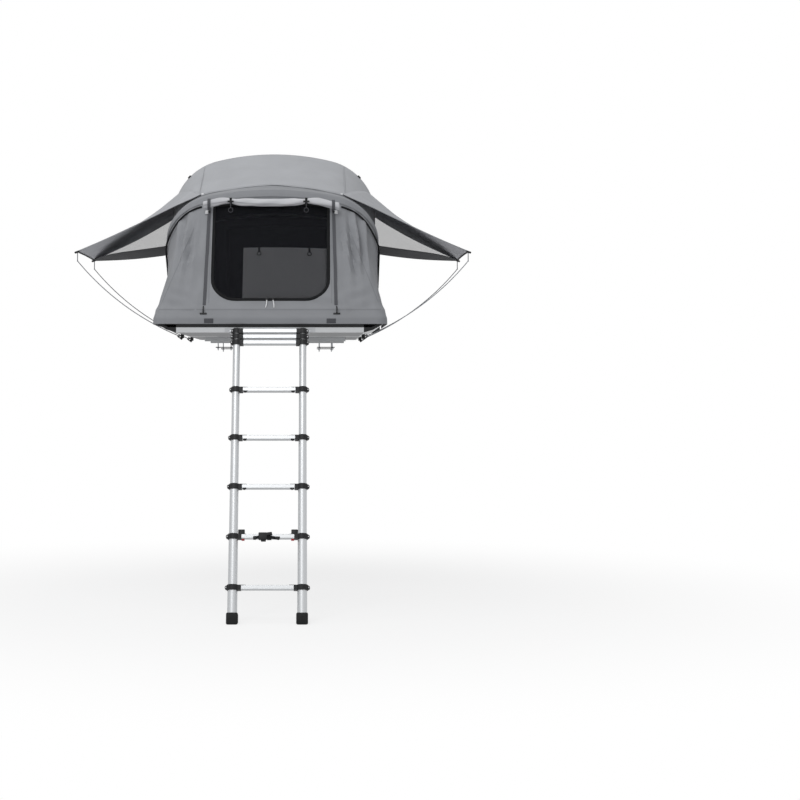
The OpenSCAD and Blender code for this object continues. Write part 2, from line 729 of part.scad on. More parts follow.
module ladder_pin() {
    x0 = rail_x + tube_r(1) + collar_t + 2;
    x1 = bracket_x + bracket_t + 2;
    translate([0, ladder_d, ladder_z]) rotate([0, 90, 0]) {
        translate([0, 0, x0]) cylinder(d = ladder_pin_d, h = x1 - x0);
        translate([0, 0, x1]) cylinder(d = ladder_pin_d + 8, h = 4);
    }
}
module foot() {
    r = tube_r(sections);
    difference() {
        translate([-foot_w / 2, -foot_w / 2, -foot_drop - sole_t]) cube([foot_w, foot_w, foot_h + sole_t]);
        translate([0, 0, -foot_drop + foot_wrap]) cylinder(r = r, h = foot_h);
    }
}
module release_button(side) {
    x0 = socket_x(sections - 1) - button_w - run_gap;
    at_ladder(rung_s(sections - 1)) mirror([side < 0 ? 1 : 0, 0, 0])
        translate([x0, 0, -rung_h / 2 - run_gap]) rotate([180, 0, 0]) along_x(0, button_w) {
            translate([-button_dep / 2, 0]) square([button_dep, button_h - 3]);
            translate([-button_dep / 2 + 3, 0]) square([button_dep - 6, button_h]);
            for (y = [-1, 1]) translate([y * (button_dep / 2 - 3), button_h - 3]) circle(3);
        }
}

// Sub-parts
module rear_floor_panel() { color("gainsboro") floor_panel(1); }
module front_floor_panel() { color("gainsboro") floor_panel(-1); }
module rear_floor_bars() { color("silver") floor_bars(1); }
module front_floor_bars() { color("silver") floor_bars(-1); }
module rear_side_rails() { color("silver") side_rails(1); }
module front_side_rails() { color("silver") side_rails(-1); }
module rear_edge_trim() { color("#1b1c1e") edge_trim(1); }
module front_edge_trim() { color("#1b1c1e") edge_trim(-1); }
module rear_mattress() { color("#5a5c60") mattress(1); }
module front_mattress() { color("#5a5c60") mattress(-1); }
module mounting_rails() {
    color("silver") for (y = [-1, 1]) translate([0, y * rail_pitch / 2, 0])
        along_x(-rail_l / 2, rail_l / 2) mounting_rail_outline();
}
module clamp_bolts() {
    color("lightgrey") for (y = [-1, 1]) for (x = [-1, 1]) for (b = [-1, 1])
        rack_places(y, x) translate([b * bolt_pitch / 2, 0, 0]) clamp_bolt();
}
module clamp_jaw_front_left() { color("dimgrey") clamp_jaw(-1, -1); }
module clamp_jaw_front_right() { color("dimgrey") clamp_jaw(-1, 1); }
module clamp_jaw_rear_left() { color("dimgrey") clamp_jaw(1, -1); }
module clamp_jaw_rear_right() { color("dimgrey") clamp_jaw(1, 1); }
module rear_hinge_plates() { color("lightgrey") hinge_plates(1); }
module front_hinge_plates() { color("lightgrey") hinge_plates(-1); }
module pivot_pins() {
    color("lightgrey") {
        half(1) both_sides() translate([0, 0, pivot_z]) cross_pin(front_plate_x + plate_t + 1);
        hoop_pins(1, rear_plate_x + plate_t + 1);
    }
}
module front_hoop_pins() { color("lightgrey") hoop_pins(-1, front_plate_x + plate_t + 1); }
module hoop_front() { color("silver") outer_hoop(-1); }
module hoop_rear() { color("silver") outer_hoop(1); }
module hoop_centre() {
    color("silver") translate([0, fold_y, pivot_z]) rotate([90, 0, 0]) hoop_tube();
}
module canopy_front() { color("#85868a") canopy(-1); }
module canopy_rear() { color("#85868a") canopy(1); }
module front_door_mesh() { color("#1a1b1e") door_mesh(-1); }
module rear_door_mesh() { color("#1a1b1e") door_mesh(1); }
module fly_front() { color("#a8a9ac") fly(-1); }
module fly_rear() { color("#a8a9ac") fly(1); }
module door_roll() { color("#c0c1c4") roll_up(); }
module awning_left() { color("#8c8d91") awning(-1); }
module awning_right() { color("#8c8d91") awning(1); }
module rod_front_left() { color("lightgrey") rod(-1, -1); }
module rod_front_right() { color("lightgrey") rod(1, -1); }
module rod_rear_left() { color("lightgrey") rod(-1, 1); }
module rod_rear_right() { color("lightgrey") rod(1, 1); }
module front_rod_forks() { color("#1b1c1e") for (s = [-1, 1]) rod_fork(s, -1); }
module rear_rod_forks() { color("#1b1c1e") for (s = [-1, 1]) rod_fork(s, 1); }
module ladder_brackets() { color("silver") half(-1) both_sides() ladder_bracket(); }
module ladder_pins() { color("lightgrey") half(-1) both_sides() ladder_pin(); }
module ladder_feet() {
    color("#1b1c1e") difference() {
        at_ladder(rung_s(sections)) both_sides() translate([rail_x, 0, 0]) foot();
        half(-1) translate([-ladder_w, ladder_d, ground_z - foot_w])
            cube([2 * ladder_w, rung_s(sections), foot_w]);
    }
}
module release_button_left() { color("#c0202a") release_button(-1); }
module release_button_right() { color("#c0202a") release_button(1); }

rear_floor_panel();
rear_floor_bars();
rear_side_rails();
rear_edge_trim();
mounting_rails();
clamp_bolts();
rear_hinge_plates();
pivot_pins();
rear_mattress();
rear_rod_forks();
canopy_rear();
rear_door_mesh();
fly_rear();
front_floor_panel();
front_floor_bars();
front_side_rails();
front_edge_trim();
front_hinge_plates();
front_hoop_pins();
front_mattress();
front_rod_forks();
ladder_brackets();
ladder_pins();
canopy_front();
front_door_mesh();
fly_front();
door_roll();
hoop_front();
hoop_centre();
hoop_rear();
rod_front_left();
rod_front_right();
rod_rear_left();
rod_rear_right();
awning_left();
awning_right();
clamp_jaw_front_left();
clamp_jaw_front_right();
clamp_jaw_rear_left();
clamp_jaw_rear_right();
for (k = [1:sections]) {
    color("silver") ladder_section(k);
    color("#1b1c1e") ladder_collars(k);
}
ladder_feet();
release_button_left();
release_button_right();
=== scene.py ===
"""Looks of the roof top tent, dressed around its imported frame. Metres, +Z up, +Y away from the ladder."""

import json
from math import atan, cos, pi, radians, sin, sqrt, tan

import bmesh
import bpy
import numpy as np
from mathutils import Matrix, Vector
from mathutils.bvhtree import BVHTree


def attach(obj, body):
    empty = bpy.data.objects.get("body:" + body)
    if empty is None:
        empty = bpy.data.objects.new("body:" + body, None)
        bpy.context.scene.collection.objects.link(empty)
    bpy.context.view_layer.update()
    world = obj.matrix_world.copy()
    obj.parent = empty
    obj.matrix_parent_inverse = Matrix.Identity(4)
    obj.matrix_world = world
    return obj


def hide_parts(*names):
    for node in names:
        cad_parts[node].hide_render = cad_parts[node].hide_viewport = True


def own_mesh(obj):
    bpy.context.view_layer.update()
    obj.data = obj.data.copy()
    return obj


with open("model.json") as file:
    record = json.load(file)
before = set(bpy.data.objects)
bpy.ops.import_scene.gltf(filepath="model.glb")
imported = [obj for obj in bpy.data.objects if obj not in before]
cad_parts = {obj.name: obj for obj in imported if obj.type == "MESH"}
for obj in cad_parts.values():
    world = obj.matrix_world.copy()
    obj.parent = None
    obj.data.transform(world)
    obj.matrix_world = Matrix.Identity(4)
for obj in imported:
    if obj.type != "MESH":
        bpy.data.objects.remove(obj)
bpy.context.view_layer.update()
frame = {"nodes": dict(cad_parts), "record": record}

# Base and hoops
FOLD_Y = -0.602
LIP_Z = 0.118
PIVOT_Z = 0.170
HOOP_SET = 0.040
HOOP_DROP = 0.030
HOOP_LEAN = radians(47)
LEG_X = 0.684
LEG_H = 0.685
SHOULDER_R = 0.385
CROWN_A = radians(13.7)
FREE_R = 0.330
SHOULDER_X = LEG_X - SHOULDER_R
CROWN_R = SHOULDER_R + SHOULDER_X / sin(CROWN_A)
CROWN_Z = LEG_H - (CROWN_R - SHOULDER_R) * cos(CROWN_A)
HOOP_TOP = CROWN_Z + CROWN_R

# Fabric columns run from the side lip (0) over the shoulder to the crown (15)
LEG_COL = 3
SHOULDER_COL = 10
COLS = 15
SEAM_LOW = 5
SEAM_HIGH = 9
PANEL_COL = 8.8
TAB_COL = 7.1
FLY_END = 1.78
FLY_DIP = 0.1
WING_END = 1.15
START_STEP = 0.030
START_RISE = 0.002
EDGE_HW = 0.7368
EDGE_D = 1.210
EDGE_R = 0.070
EDGE_TUCK = 0.016
SIDE_SHARE = 7 / COLS
CORNER_SHARE = 9 / COLS
CANOPY_O = 0.0175
FLY_O = 0.0218
WING_O = 0.0259
CLOTH = 0.0012
NET = 0.0006
SIDE_DRAW = 0.025

# Front and rear walls
WALL_TOP_D = HOOP_SET + HOOP_TOP * cos(HOOP_LEAN)
WALL_TOP_Z = PIVOT_Z - HOOP_DROP + HOOP_TOP * sin(HOOP_LEAN)
WALL_A = atan((EDGE_D - WALL_TOP_D) / (WALL_TOP_Z - LIP_Z))
DOOR_HW = 0.368
DOOR_H = 0.700
SILL = 0.136
DOOR_R = 0.150
CUT_DEPTH = 0.14

# Awnings
TIP_X = 1.315
TIP_Z = 0.590
AWNING_HL = 0.450
FLAP_Z = 0.640

# Ladder
LADDER_PIVOT = Vector((0, -1.845, 0.032))
LADDER_LEAN = radians(20)
RAIL_X = 0.207
GROUND_Z = -1.70925
RUNG_S = [0, 0.038, 0.076, 0.388, 0.700, 1.012, 1.324, 1.636]

FRONT, REAR = -1, 1
BASE = {FRONT: "front_base", REAR: "rear_base"}
END_NAME = {FRONT: "front", REAR: "rear"}
SIDE_NAME = {-1: "left", 1: "right"}


# Materials
def linear(hex_colour):
    """Linear colour of a written display colour."""
    parts = [int(hex_colour[i:i + 2], 16) / 255 for i in (1, 3, 5)]
    return tuple(p / 12.92 if p < 0.04045 else ((p + 0.055) / 1.055) ** 2.4 for p in parts) + (1,)


def shade(colour, factor):
    return tuple(min(1, c * factor) for c in colour[:3]) + (1,)


def add_node(tree, kind, **values):
    """New shader node; an underscore in a value's name stands for a space."""
    node = tree.nodes.new(kind)
    for key, value in values.items():
        node.inputs[key.replace("_", " ")].default_value = value
    return node


def combined(tree, operation, a, b):
    """Output of a math node that joins two outputs."""
    node = tree.nodes.new("ShaderNodeMath")
    node.operation = operation
    tree.links.new(a, node.inputs[0])
    tree.links.new(b, node.inputs[1])
    return node.outputs[0]


class Look:
    """A node material with object coordinates, one shader and a chain of bumps."""

    def __init__(self, name, roughness, metallic=0.0):
        self.mat = bpy.data.materials.new(name)
        self.mat.use_nodes = True
        self.tree = self.mat.node_tree
        self.bsdf = self.tree.nodes["Principled BSDF"]
        self.set("Roughness", roughness)
        self.set("Metallic", metallic)
        self.coord = self.tree.nodes.new("ShaderNodeTexCoord").outputs["Object"]
        self.last_bump = None

    def set(self, key, value):
        self.bsdf.inputs[key].default_value = value

    def link(self, a, b):
        self.tree.links.new(a, b)

    def noise(self, scale, detail=3.0, distortion=0.0, stretch=(1, 1, 1)):
        mapping = add_node(self.tree, "ShaderNodeMapping", Scale=stretch)
        node = add_node(self.tree, "ShaderNodeTexNoise", Scale=scale, Detail=detail, Distortion=distortion)
        self.link(self.coord, mapping.inputs["Vector"])
        self.link(mapping.outputs["Vector"], node.inputs["Vector"])
        return node.outputs["Fac"]

    def bands(self, direction, scale, distortion=0.4):
        node = add_node(self.tree, "ShaderNodeTexWave", Scale=scale, Distortion=distortion)
        node.bands_direction = direction
        self.link(self.coord, node.inputs["Vector"])
        return node.outputs["Fac"]

    def colour(self, fac, low, high, start=0.3, end=0.7):
        """Base colour that runs from low to high with a factor."""
        node = self.tree.nodes.new("ShaderNodeValToRGB")
        for stop, place, tint in zip(node.color_ramp.elements, (start, end), (low, high)):
            stop.position = place
            stop.color = tint
        self.link(fac, node.inputs["Fac"])
        self.link(node.outputs["Color"], self.bsdf.inputs["Base Color"])

    def bump(self, height, strength, distance):
        node = add_node(self.tree, "ShaderNodeBump", Strength=strength, Distance=distance)
        self.link(height, node.inputs["Height"])
        if self.last_bump:
            self.link(self.last_bump, node.inputs["Normal"])
        self.last_bump = node.outputs["Normal"]
        self.link(self.last_bump, self.bsdf.inputs["Normal"])

    def rough(self, fac, low, high):
        node = add_node(self.tree, "ShaderNodeMapRange", To_Min=low, To_Max=high)
        self.link(fac, node.inputs["Value"])
        self.link(node.outputs["Result"], self.bsdf.inputs["Roughness"])


MOTTLE = 0.05


def fabric(name, colour, weave=260.0, thread=0.18, crease=0.35, sheen=0.08, gloss=0.3, alpha=1.0):
    """Coated woven cloth: mottled colour, crossed threads and soft creases."""
    look = Look(name, 0.82)
    base = linear(colour)
    mottled = look.noise(5.0, 6.0, 0.4)
    look.colour(mottled, shade(base, 1 - MOTTLE), shade(base, 1 + MOTTLE))
    threads = combined(look.tree, "MULTIPLY", look.bands("X", weave), look.bands("Z", weave))
    look.bump(threads, thread, 0.0006)
    look.bump(look.noise(16.0, 5.0, 0.8), crease, 0.006)
    look.rough(mottled, 0.74, 0.9)
    look.set("Sheen Weight", sheen)
    look.set("Specular IOR Level", gloss)
    look.set("Alpha", alpha)
    return look.mat


def webbing(name, colour):
    look = Look(name, 0.7)
    base = linear(colour)
    ribs = look.bands("Z", 420.0, 0.1)
    look.colour(ribs, shade(base, 0.85), shade(base, 1.12), 0.1, 0.9)
    look.bump(ribs, 0.3, 0.0006)
    look.set("Specular IOR Level", 0.15)
    return look.mat


def moulded(name, colour, low, high, grain=420.0):
    """Moulded plastic or rubber: fine grain and a trace of wear."""
    look = Look(name, (low + high) / 2)
    base = linear(colour)
    wear = look.noise(22.0, 6.0, 0.3)
    look.colour(wear, shade(base, 0.85), shade(base, 1.35), 0.35, 0.8)
    look.rough(look.noise(60.0, 3.0), low, high)
    look.bump(look.noise(grain, 2.0), 0.14, 0.0004)
    look.set("Specular IOR Level", 0.3)
    return look.mat


def metal(name, colour, low, high, stretch):
    """Drawn or brushed metal with fine lines along one direction."""
    look = Look(name, (low + high) / 2, 1.0)
    base = linear(colour)
    lines = look.noise(40.0, 4.0, 0.0, stretch)
    look.colour(lines, shade(base, 0.92), shade(base, 1.05))
    look.rough(lines, low, high)
    look.bump(lines, 0.05, 0.0004)
    return look.mat


def coated(name, colour):
    look = Look(name, 0.5)
    base = linear(colour)
    flecks = look.noise(90.0, 4.0)
    look.colour(flecks, shade(base, 0.94), shade(base, 1.05))
    look.rough(flecks, 0.42, 0.6)
    look.bump(look.noise(500.0, 2.0), 0.1, 0.0003)
    return look.mat


RAIL_LINES = (30, 30, 1)
BAR_LINES = (1, 30, 30)
CANVAS = fabric("canvas", "#8A8C90")
CANVAS_IN = fabric("canvas_inside", "#303135")
SEAM = fabric("seam_cloth", "#808286", crease=0.1)
FLY = fabric("fly_cloth", "#A6A8AC", crease=0.25)
FLY_SEAM = fabric("fly_seam", "#9C9EA2", crease=0.1)
LINING = fabric("pale_lining", "#C8C9CD", thread=0.0, crease=0.0, sheen=0.0, gloss=0.03)
# Painted shade: a dark grey on the undersides of the awning flaps and on their hems, where the shade under
# the awnings falls
PAINTED_SHADE_UNDER = fabric("painted_shade_underside", "#323337", crease=0.2)
ROLL = fabric("door_cloth", "#C6C7CB")
GUSSET = fabric("sheer_gusset", "#A6A7AB", crease=0.1, alpha=0.34)
MESH = fabric("insect_mesh", "#1E1F23", weave=420.0, crease=0.04, sheen=0.0, gloss=0.08, alpha=0.43)
FLAP = fabric("inner_flap", "#C4C5C9")
COVER = fabric("mattress_cover", "#5A5C60")
TAPE = webbing("black_tape", "#121315")
STRAP = webbing("grey_webbing", "#56575B")
PATCH = webbing("patch_webbing", "#505155")
BLACK = moulded("black_plastic", "#141517", 0.42, 0.6)
RUBBER = moulded("foot_rubber", "#0E0F10", 0.6, 0.8, 260.0)
RED = moulded("red_plastic", "#B01E28", 0.25, 0.4)
PALE = moulded("pale_nylon", "#D9DADC", 0.35, 0.5)
LADDER_ALU = metal("ladder_aluminium", "#C2C4C6", 0.4, 0.52, RAIL_LINES)
BAR_ALU = metal("bar_aluminium", "#B6B8BA", 0.32, 0.46, BAR_LINES)
STEEL = metal("zinc_steel", "#A9ABAE", 0.3, 0.45, BAR_LINES)
ROD_STEEL = metal("rod_steel", "#7C7E82", 0.35, 0.5, RAIL_LINES)
JAW = coated("jaw_coating", "#2A2B2D")
# Floor panel: a dark grey that is partly the panel's own colour and partly painted shade for the shadow
# beneath the base
PANEL_AND_SHADE = coated("panel_coating_and_shade", "#6C6E71")
SLOT_LOOK = {
    "aluminium": BAR_ALU, "black_plastic": BLACK, "steel": STEEL, "dark_steel": JAW, "floor_panel": PANEL_AND_SHADE,
    "grey_canvas": CANVAS, "light_canvas": FLY, "mesh": MESH, "mattress_cover": COVER, "rubber": RUBBER,
    "red_plastic": RED,
}
for row in frame["record"]["subparts"]:
    node = row["node"]
    look = SLOT_LOOK[row["material_slot"]]
    if node.startswith("ladder_section"):
        look = LADDER_ALU
    if node.startswith("rod_") and not node.endswith("forks"):
        look = ROD_STEEL
    slots = frame["nodes"][node].data.materials
    slots.clear()
    slots.append(look)


# Mesh helpers
SHARP_ANGLE = radians(40)


class Soup:
    """Faces of several shapes that become one piece."""

    def __init__(self):
        self.points = []
        self.faces = []
        self.looks = []

    def add(self, shape, look=0):
        points, faces = shape
        start = len(self.points)
        self.points.extend(Vector(p) for p in points)
        self.faces.extend([start + i for i in f] for f in faces)
        self.looks.extend([look] * len(faces))
        return self

    def build(self, name, *mats, recalc=True):
        mesh = bpy.data.meshes.new(name)
        mesh.from_pydata(self.points, [], self.faces)
        for mat in mats:
            mesh.materials.append(mat)
        mesh.polygons.foreach_set("material_index", self.looks)
        mesh.polygons.foreach_set("use_smooth", [True] * len(mesh.polygons))
        if recalc:
            clean = bmesh.new()
            clean.from_mesh(mesh)
            bmesh.ops.recalc_face_normals(clean, faces=clean.faces)
            clean.to_mesh(mesh)
            clean.free()
        mesh.set_sharp_from_angle(angle=SHARP_ANGLE)
        obj = bpy.data.objects.new(name, mesh)
        bpy.context.scene.collection.objects.link(obj)
        return obj


def turns(n):
    return np.linspace(0, 2 * pi, n, endpoint=False)


def moved(shape, place):
    points, faces = shape
    return [place @ Vector(p) for p in points], faces


def grid_faces(m, n, around=False):
    last = n if around else n - 1
    return [
        (i * n + j, i * n + (j + 1) % n, (i + 1) * n + (j + 1) % n, (i + 1) * n + j)
        for i in range(m - 1) for j in range(last)
    ]


def loft(rings, caps=True):
    """Closed solid through equal rings of points."""
    rings = np.asarray(rings, float)
    m, n = rings.shape[:2]
    faces = grid_faces(m, n, True)
    if caps:
        faces = faces + [tuple(range(n))[::-1], tuple((m - 1) * n + j for j in range(n))]
    return rings.reshape(-1, 3), faces


def unit(vectors):
    return vectors / np.linalg.norm(vectors, axis=1)[:, None]


def tangents(path, closed=False):
    if closed:
        return unit(np.roll(path, -1, axis=0) - np.roll(path, 1, axis=0))
    return unit(np.gradient(path, axis=0))


def tube(path, radius, sides=10):
    """Round tube along a path."""
    path = np.asarray(path, float)
    t = tangents(path)
    axis = np.eye(3)[np.argmin(np.abs(t[0]))]
    u = np.cross(t[0], axis)
    a = turns(sides)
    rings = []
    for p, d in zip(path, t):
        u = u - d * (u @ d)
        u = u / np.linalg.norm(u)
        v = np.cross(d, u)
        rings.append(p + radius * (np.outer(np.cos(a), u) + np.outer(np.sin(a), v)))
    return loft(rings)


def ribbon(path, normals, width, thick, closed=False):
    """Flat strap along a path that lies on a surface with these normals."""
    path = np.asarray(path, float)
    normals = np.asarray(normals, float)
    side = unit(np.cross(tangents(path, closed), normals))
    h, e = width / 2, min(thick / 2, width / 6)
    section = [(-h, 0), (-h, thick - e), (-h + e, thick), (h - e, thick), (h, thick - e), (h, 0)]
    rings = [[p + s * a + n * b for a, b in section] for p, s, n in zip(path, side, normals)]
    if closed:
        rings.append(rings[0])
    return loft(rings, caps=not closed)


def rounded_box(size, bevel, place):
    """Block with rounded edges at a placement matrix."""
    mesh = bmesh.new()
    bmesh.ops.create_cube(mesh, size=1.0)
    bmesh.ops.scale(mesh, vec=size, verts=mesh.verts)
    bmesh.ops.bevel(mesh, geom=mesh.edges[:], offset=bevel, segments=3, profile=0.5, affect="EDGES")
    bmesh.ops.transform(mesh, matrix=place, verts=mesh.verts)
    mesh.verts.index_update()
    shape = [v.co.copy() for v in mesh.verts], [[v.index for v in f.verts] for f in mesh.faces]
    mesh.free()
    return shape


def turned(profile, place, sides=20):
    """Solid of revolution: profile of (radius, height) about the Z axis of a placement matrix."""
    a = turns(sides)
    rings = [np.stack([r * np.cos(a), r * np.sin(a), np.full(sides, h)], 1) for r, h in profile]
    return moved(loft(rings), place)


def ring(radius, thick, place, sides=24):
    reach, height = radius + thick * np.cos(turns(8)), thick * np.sin(turns(8))
    rings = [np.stack([reach * cos(a), reach * sin(a), height], 1) for a in turns(sides)]
    rings.append(rings[0])
    return moved(loft(rings, caps=False), place)


def facing(point, normal):
    """Placement with Z along the normal and Y as far up as it goes."""
    z = Vector(normal).normalized()
    x = Vector((0, 0, 1)).cross(z).normalized()
    y = z.cross(x)
    return Matrix.Translation(point) @ Matrix((x, y, z)).transposed().to_4x4()


def applied(obj):
    """Bakes an object's modifiers into its mesh."""
    bpy.context.view_layer.update()
    seen = obj.evaluated_get(bpy.context.evaluated_depsgraph_get())
    mesh = bpy.data.meshes.new_from_object(seen)
    obj.modifiers.clear()
    obj.data = mesh
    return obj


def cloth(name, grid, *mats, thick=CLOTH, top=None):
    """Thin closed sheet over a grid of points; a second material goes on the side away from the top."""
    if top is not None:
        normals = np.cross(np.gradient(grid, axis=1), np.gradient(grid, axis=0))
        if np.sum(normals @ np.array(top, float)) < 0:
            grid = grid[::-1]
    m, n = grid.shape[:2]
    obj = Soup().add((grid.reshape(-1, 3), grid_faces(m, n))).build(name, *mats, recalc=top is None)
    solid = obj.modifiers.new("thickness", "SOLIDIFY")
    solid.thickness = thick
    solid.offset = 0
    solid.material_offset = len(mats) - 1
    return applied(obj)


def dress(obj, body):
    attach(obj, body)
    return obj


def soft(obj, end):
    """Fabric on a base half, which moves with it."""
    dress(obj, BASE[end])
    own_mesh(obj)
    return obj


def step(a, b, x):
    t = np.clip((x - a) / (b - a), 0, 1)
    return t * t * (3 - 2 * t)


def bell(x, centre, width):
    return np.exp(-((x - centre) / width) ** 2)


# Fabric surfaces
def hoop_outline(col, offset):
    """Half width and reach of a hoop, offset outwards, at these columns."""
    shoulder = np.clip((col - LEG_COL) / (SHOULDER_COL - LEG_COL), 0, 1) * (pi / 2 - CROWN_A)
    crown = CROWN_A * (1 - np.clip((col - SHOULDER_COL) / (COLS - SHOULDER_COL), 0, 1))
    leg = FREE_R + (LEG_H - FREE_R) * np.clip((col - 1) / (LEG_COL - 1), 0, 1)
    r = SHOULDER_R + offset
    x = np.where(col < LEG_COL, LEG_X + offset, SHOULDER_X + r * np.cos(shoulder))
    reach = np.where(col < LEG_COL, leg, LEG_H + r * np.sin(shoulder))
    top = CROWN_R + offset
    x = np.where(col > SHOULDER_COL, top * np.sin(crown), x)
    reach = np.where(col > SHOULDER_COL, CROWN_Z + top * np.cos(crown), reach)
    return x, reach


def hoop_points(col, offset, d0, z0, lean):
    x, reach = hoop_outline(col, offset)
    return np.stack([x, d0 + reach * cos(lean), z0 + reach * sin(lean)], -1)


def roof_points(col, offset):
    return hoop_points(col, offset, 0, PIVOT_Z, pi / 2)


def arch_points(col, offset):
    return hoop_points(col, offset, HOOP_SET, PIVOT_Z - HOOP_DROP, HOOP_LEAN)


def edge_points(col, out, z):
    s = col / COLS
    straight = EDGE_D - EDGE_R
    a = np.clip((s - SIDE_SHARE) / (CORNER_SHARE - SIDE_SHARE), 0, 1) * pi / 2
    x = EDGE_HW - EDGE_R + (EDGE_R + out) * np.cos(a)
    d = straight + (EDGE_R + out) * np.sin(a)
    d = np.where(s < SIDE_SHARE, 4 * START_STEP + (straight - 4 * START_STEP) * s / SIDE_SHARE, d)
    x = np.where(s > CORNER_SHARE, (EDGE_HW - EDGE_R) * (1 - s) / (1 - CORNER_SHARE), x)
    return np.stack([x, d, np.full_like(x, z)], -1)


def canopy_rows(row, col, offset):
    """Canopy at a row from the centre hoop (0) over the outer hoop (2) to the base edge (4)."""
    far = np.maximum(col, 1.0)
    roof, arch = roof_points(far, offset), arch_points(far, offset)
    edge = edge_points(far, offset - EDGE_TUCK, LIP_Z)
    body = roof + (arch - roof) * row / 2 if row <= 2 else arch + (edge - arch) * (row - 2) / 2
    start = np.array([EDGE_HW + offset - EDGE_TUCK, row * START_STEP, LIP_Z + START_RISE * (4 - row)])
    share = np.minimum(col, 1.0)[:, None]
    return start + (body - start) * share


def across(half_points):
    """Both sides of a row that is given from the side to the crown."""
    return np.concatenate([mirrored(half_points, -1), half_points[-2::-1]])


def mirrored(points, side):
    return np.asarray(points) * np.array([side, 1, 1])


def placed(grid, end):
    """From distances off the fold line to places along Y."""
    out = np.array(grid, float)
    out[..., 1] = FOLD_Y + end * out[..., 1]
    return out


def outward(grid):
    """Unit normals of a grid that point away from the middle of the tent."""
    n = np.cross(np.gradient(grid, axis=0), np.gradient(grid, axis=1))
    n = n / np.maximum(np.linalg.norm(n, axis=2), 1e-12)[..., None]
    facing_out = np.sign(np.sum(n * (grid - TENT_CENTRE), axis=2))
    return n * facing_out[..., None]


HALF_COLS = np.linspace(0, COLS, 6 * COLS + 1)
FULL_COLS = np.concatenate([HALF_COLS, HALF_COLS[-2::-1]])
ROOF_ROWS = np.concatenate([np.linspace(0, 1.7, 21), np.linspace(1.7, 2, 19)[1:]])
WALL_ROWS = np.linspace(2, 4, 57)[1:]
SKIRT_DROPS = (0.007, 0.015, 0.023, 0.031, 0.038)
TENT_CENTRE = np.array([0, 0.3, 0.35])


def canopy_relief(row, col, x, d, z):
    """How far the cloth stands off its plain form: sag between the hoops, folds and creases."""
    size = np.abs(x)
    side = np.where(x > 0, 1.0, 0.7)
    move = -0.015 * np.sin(pi * np.clip(row, 0, 2) / 2) * step(1, 4, col)
    move -= 0.008 * np.sin(pi * np.clip(row - 2, 0, 2) / 2) * step(3, 7, col)
    wall = step(2.05, 2.3, row) * step(4.0, 3.85, row)
    upper = wall * bell(size, 0.56, 0.09) * bell(z, 0.62, 0.2) * side
    move += 0.028 * upper * np.sin(95 * size + 9 * z)
    inner = step(0.68, 0.60, size)
    corner = wall * inner * bell(size, 0.58, 0.10) * bell(z, 0.25, 0.09)
    move += 0.006 * corner * np.sin(70 * z - 26 * size + 1.2)
    pull = wall * bell(size, 0.44, 0.05) * bell(z, 0.34, 0.16)
    move += 0.005 * pull * np.sin(60 * size + 22 * z)
    band = wall * step(0.25, 0.55, d - 0.6)
    move += band * (0.004 * bell(z, 0.172, 0.016) - 0.003 * bell(z, 0.215, 0.03))
    brow = bell(row, 1.83, 0.03) * step(0.52, 0.3, size)
    move += 0.003 * brow * np.sin(80 * row + 4 * x + 1.2 * np.sin(8 * x))
    slack = wall * inner * step(0.41, 0.48, size)
    move += 0.0028 * slack * np.sin(52 * size + 6 * z + 2 * np.sin(11 * z))
    move += 0.0024 * slack * np.sin(23 * size - 19 * z + 0.8 * side)
    low = wall * inner * bell(z, 0.235, 0.045) * step(0.1, 0.4, size)
    move += 0.0035 * low * np.sin(62 * z + 13 * x)
    fan = step(0.15, 0.5, row) * step(3.9, 3.4, row) * bell(col, 1.6, 1.6)
    return move + 0.004 * fan * np.sin(9.0 * row + 0.8 * col)


def canopy_grid(end):
    rows = np.concatenate([ROOF_ROWS, WALL_ROWS])
    grid = np.array([across(canopy_rows(r, HALF_COLS, CANOPY_O)) for r in rows])
    row, col = rows[:, None], FULL_COLS[None, :]
    x, d, z = grid[..., 0], grid[..., 1], grid[..., 2]
    relief = outward(grid) * canopy_relief(row, col, x, d, z)[..., None]
    pinch = np.sin(pi * np.clip((col - 1) / 7, 0, 1)) * np.sin(pi * np.clip((row - 2) / 2, 0, 1))
    grid = grid + relief
    grid[..., 0] -= SIDE_DRAW * np.sign(x) * pinch
    skirt = [across(edge_points(HALF_COLS, 0.0015 + 0.045 * drop, LIP_Z - drop)) for drop in SKIRT_DROPS]
    return placed(np.concatenate([grid, skirt]), end)


def surface_of(grid):
    m, n = grid.shape[:2]
    return BVHTree.FromPolygons([Vector(p) for p in grid.reshape(-1, 3)], grid_faces(m, n))


CANOPY = {end: canopy_grid(end) for end in (FRONT, REAR)}
SKIN = {end: surface_of(CANOPY[end]) for end in (FRONT, REAR)}


# Starts of the lines that find the cloth
OUT_WALL = 0.3
OUT_END = 2.0
OUT_SIDE = 1.5


def cast(end, origin, direction, lift):
    """Point and outward normal where a line meets the canopy, raised off it."""
    hit, normal, _, _ = SKIN[end].ray_cast(Vector(origin), Vector(direction))
    if hit is None:
        raise ValueError(f"no canopy at {tuple(origin)}")
    if normal.dot(Vector(direction)) > 0:
        normal = -normal
    return np.array(hit + normal * lift), np.array(normal)


def wall_place(end, x, up, out):
    """Place at a distance up an end wall from the base edge, and out from it."""
    d = EDGE_D - up * sin(WALL_A) + out * cos(WALL_A)
    return x, FOLD_Y + end * d, LIP_Z + up * cos(WALL_A) + out * sin(WALL_A)


def on_wall(end, x, up, lift):
    """Place on the cloth of an end wall, by its distance up the wall."""
    inward = (0, -end * cos(WALL_A), -sin(WALL_A))
    return cast(end, wall_place(end, x, up, OUT_WALL), inward, lift)


def on_end(end, x, z, lift):
    """Place on an end wall, seen straight on at this height."""
    return cast(end, (x, FOLD_Y + end * OUT_END, z), (0, -end, 0), lift)


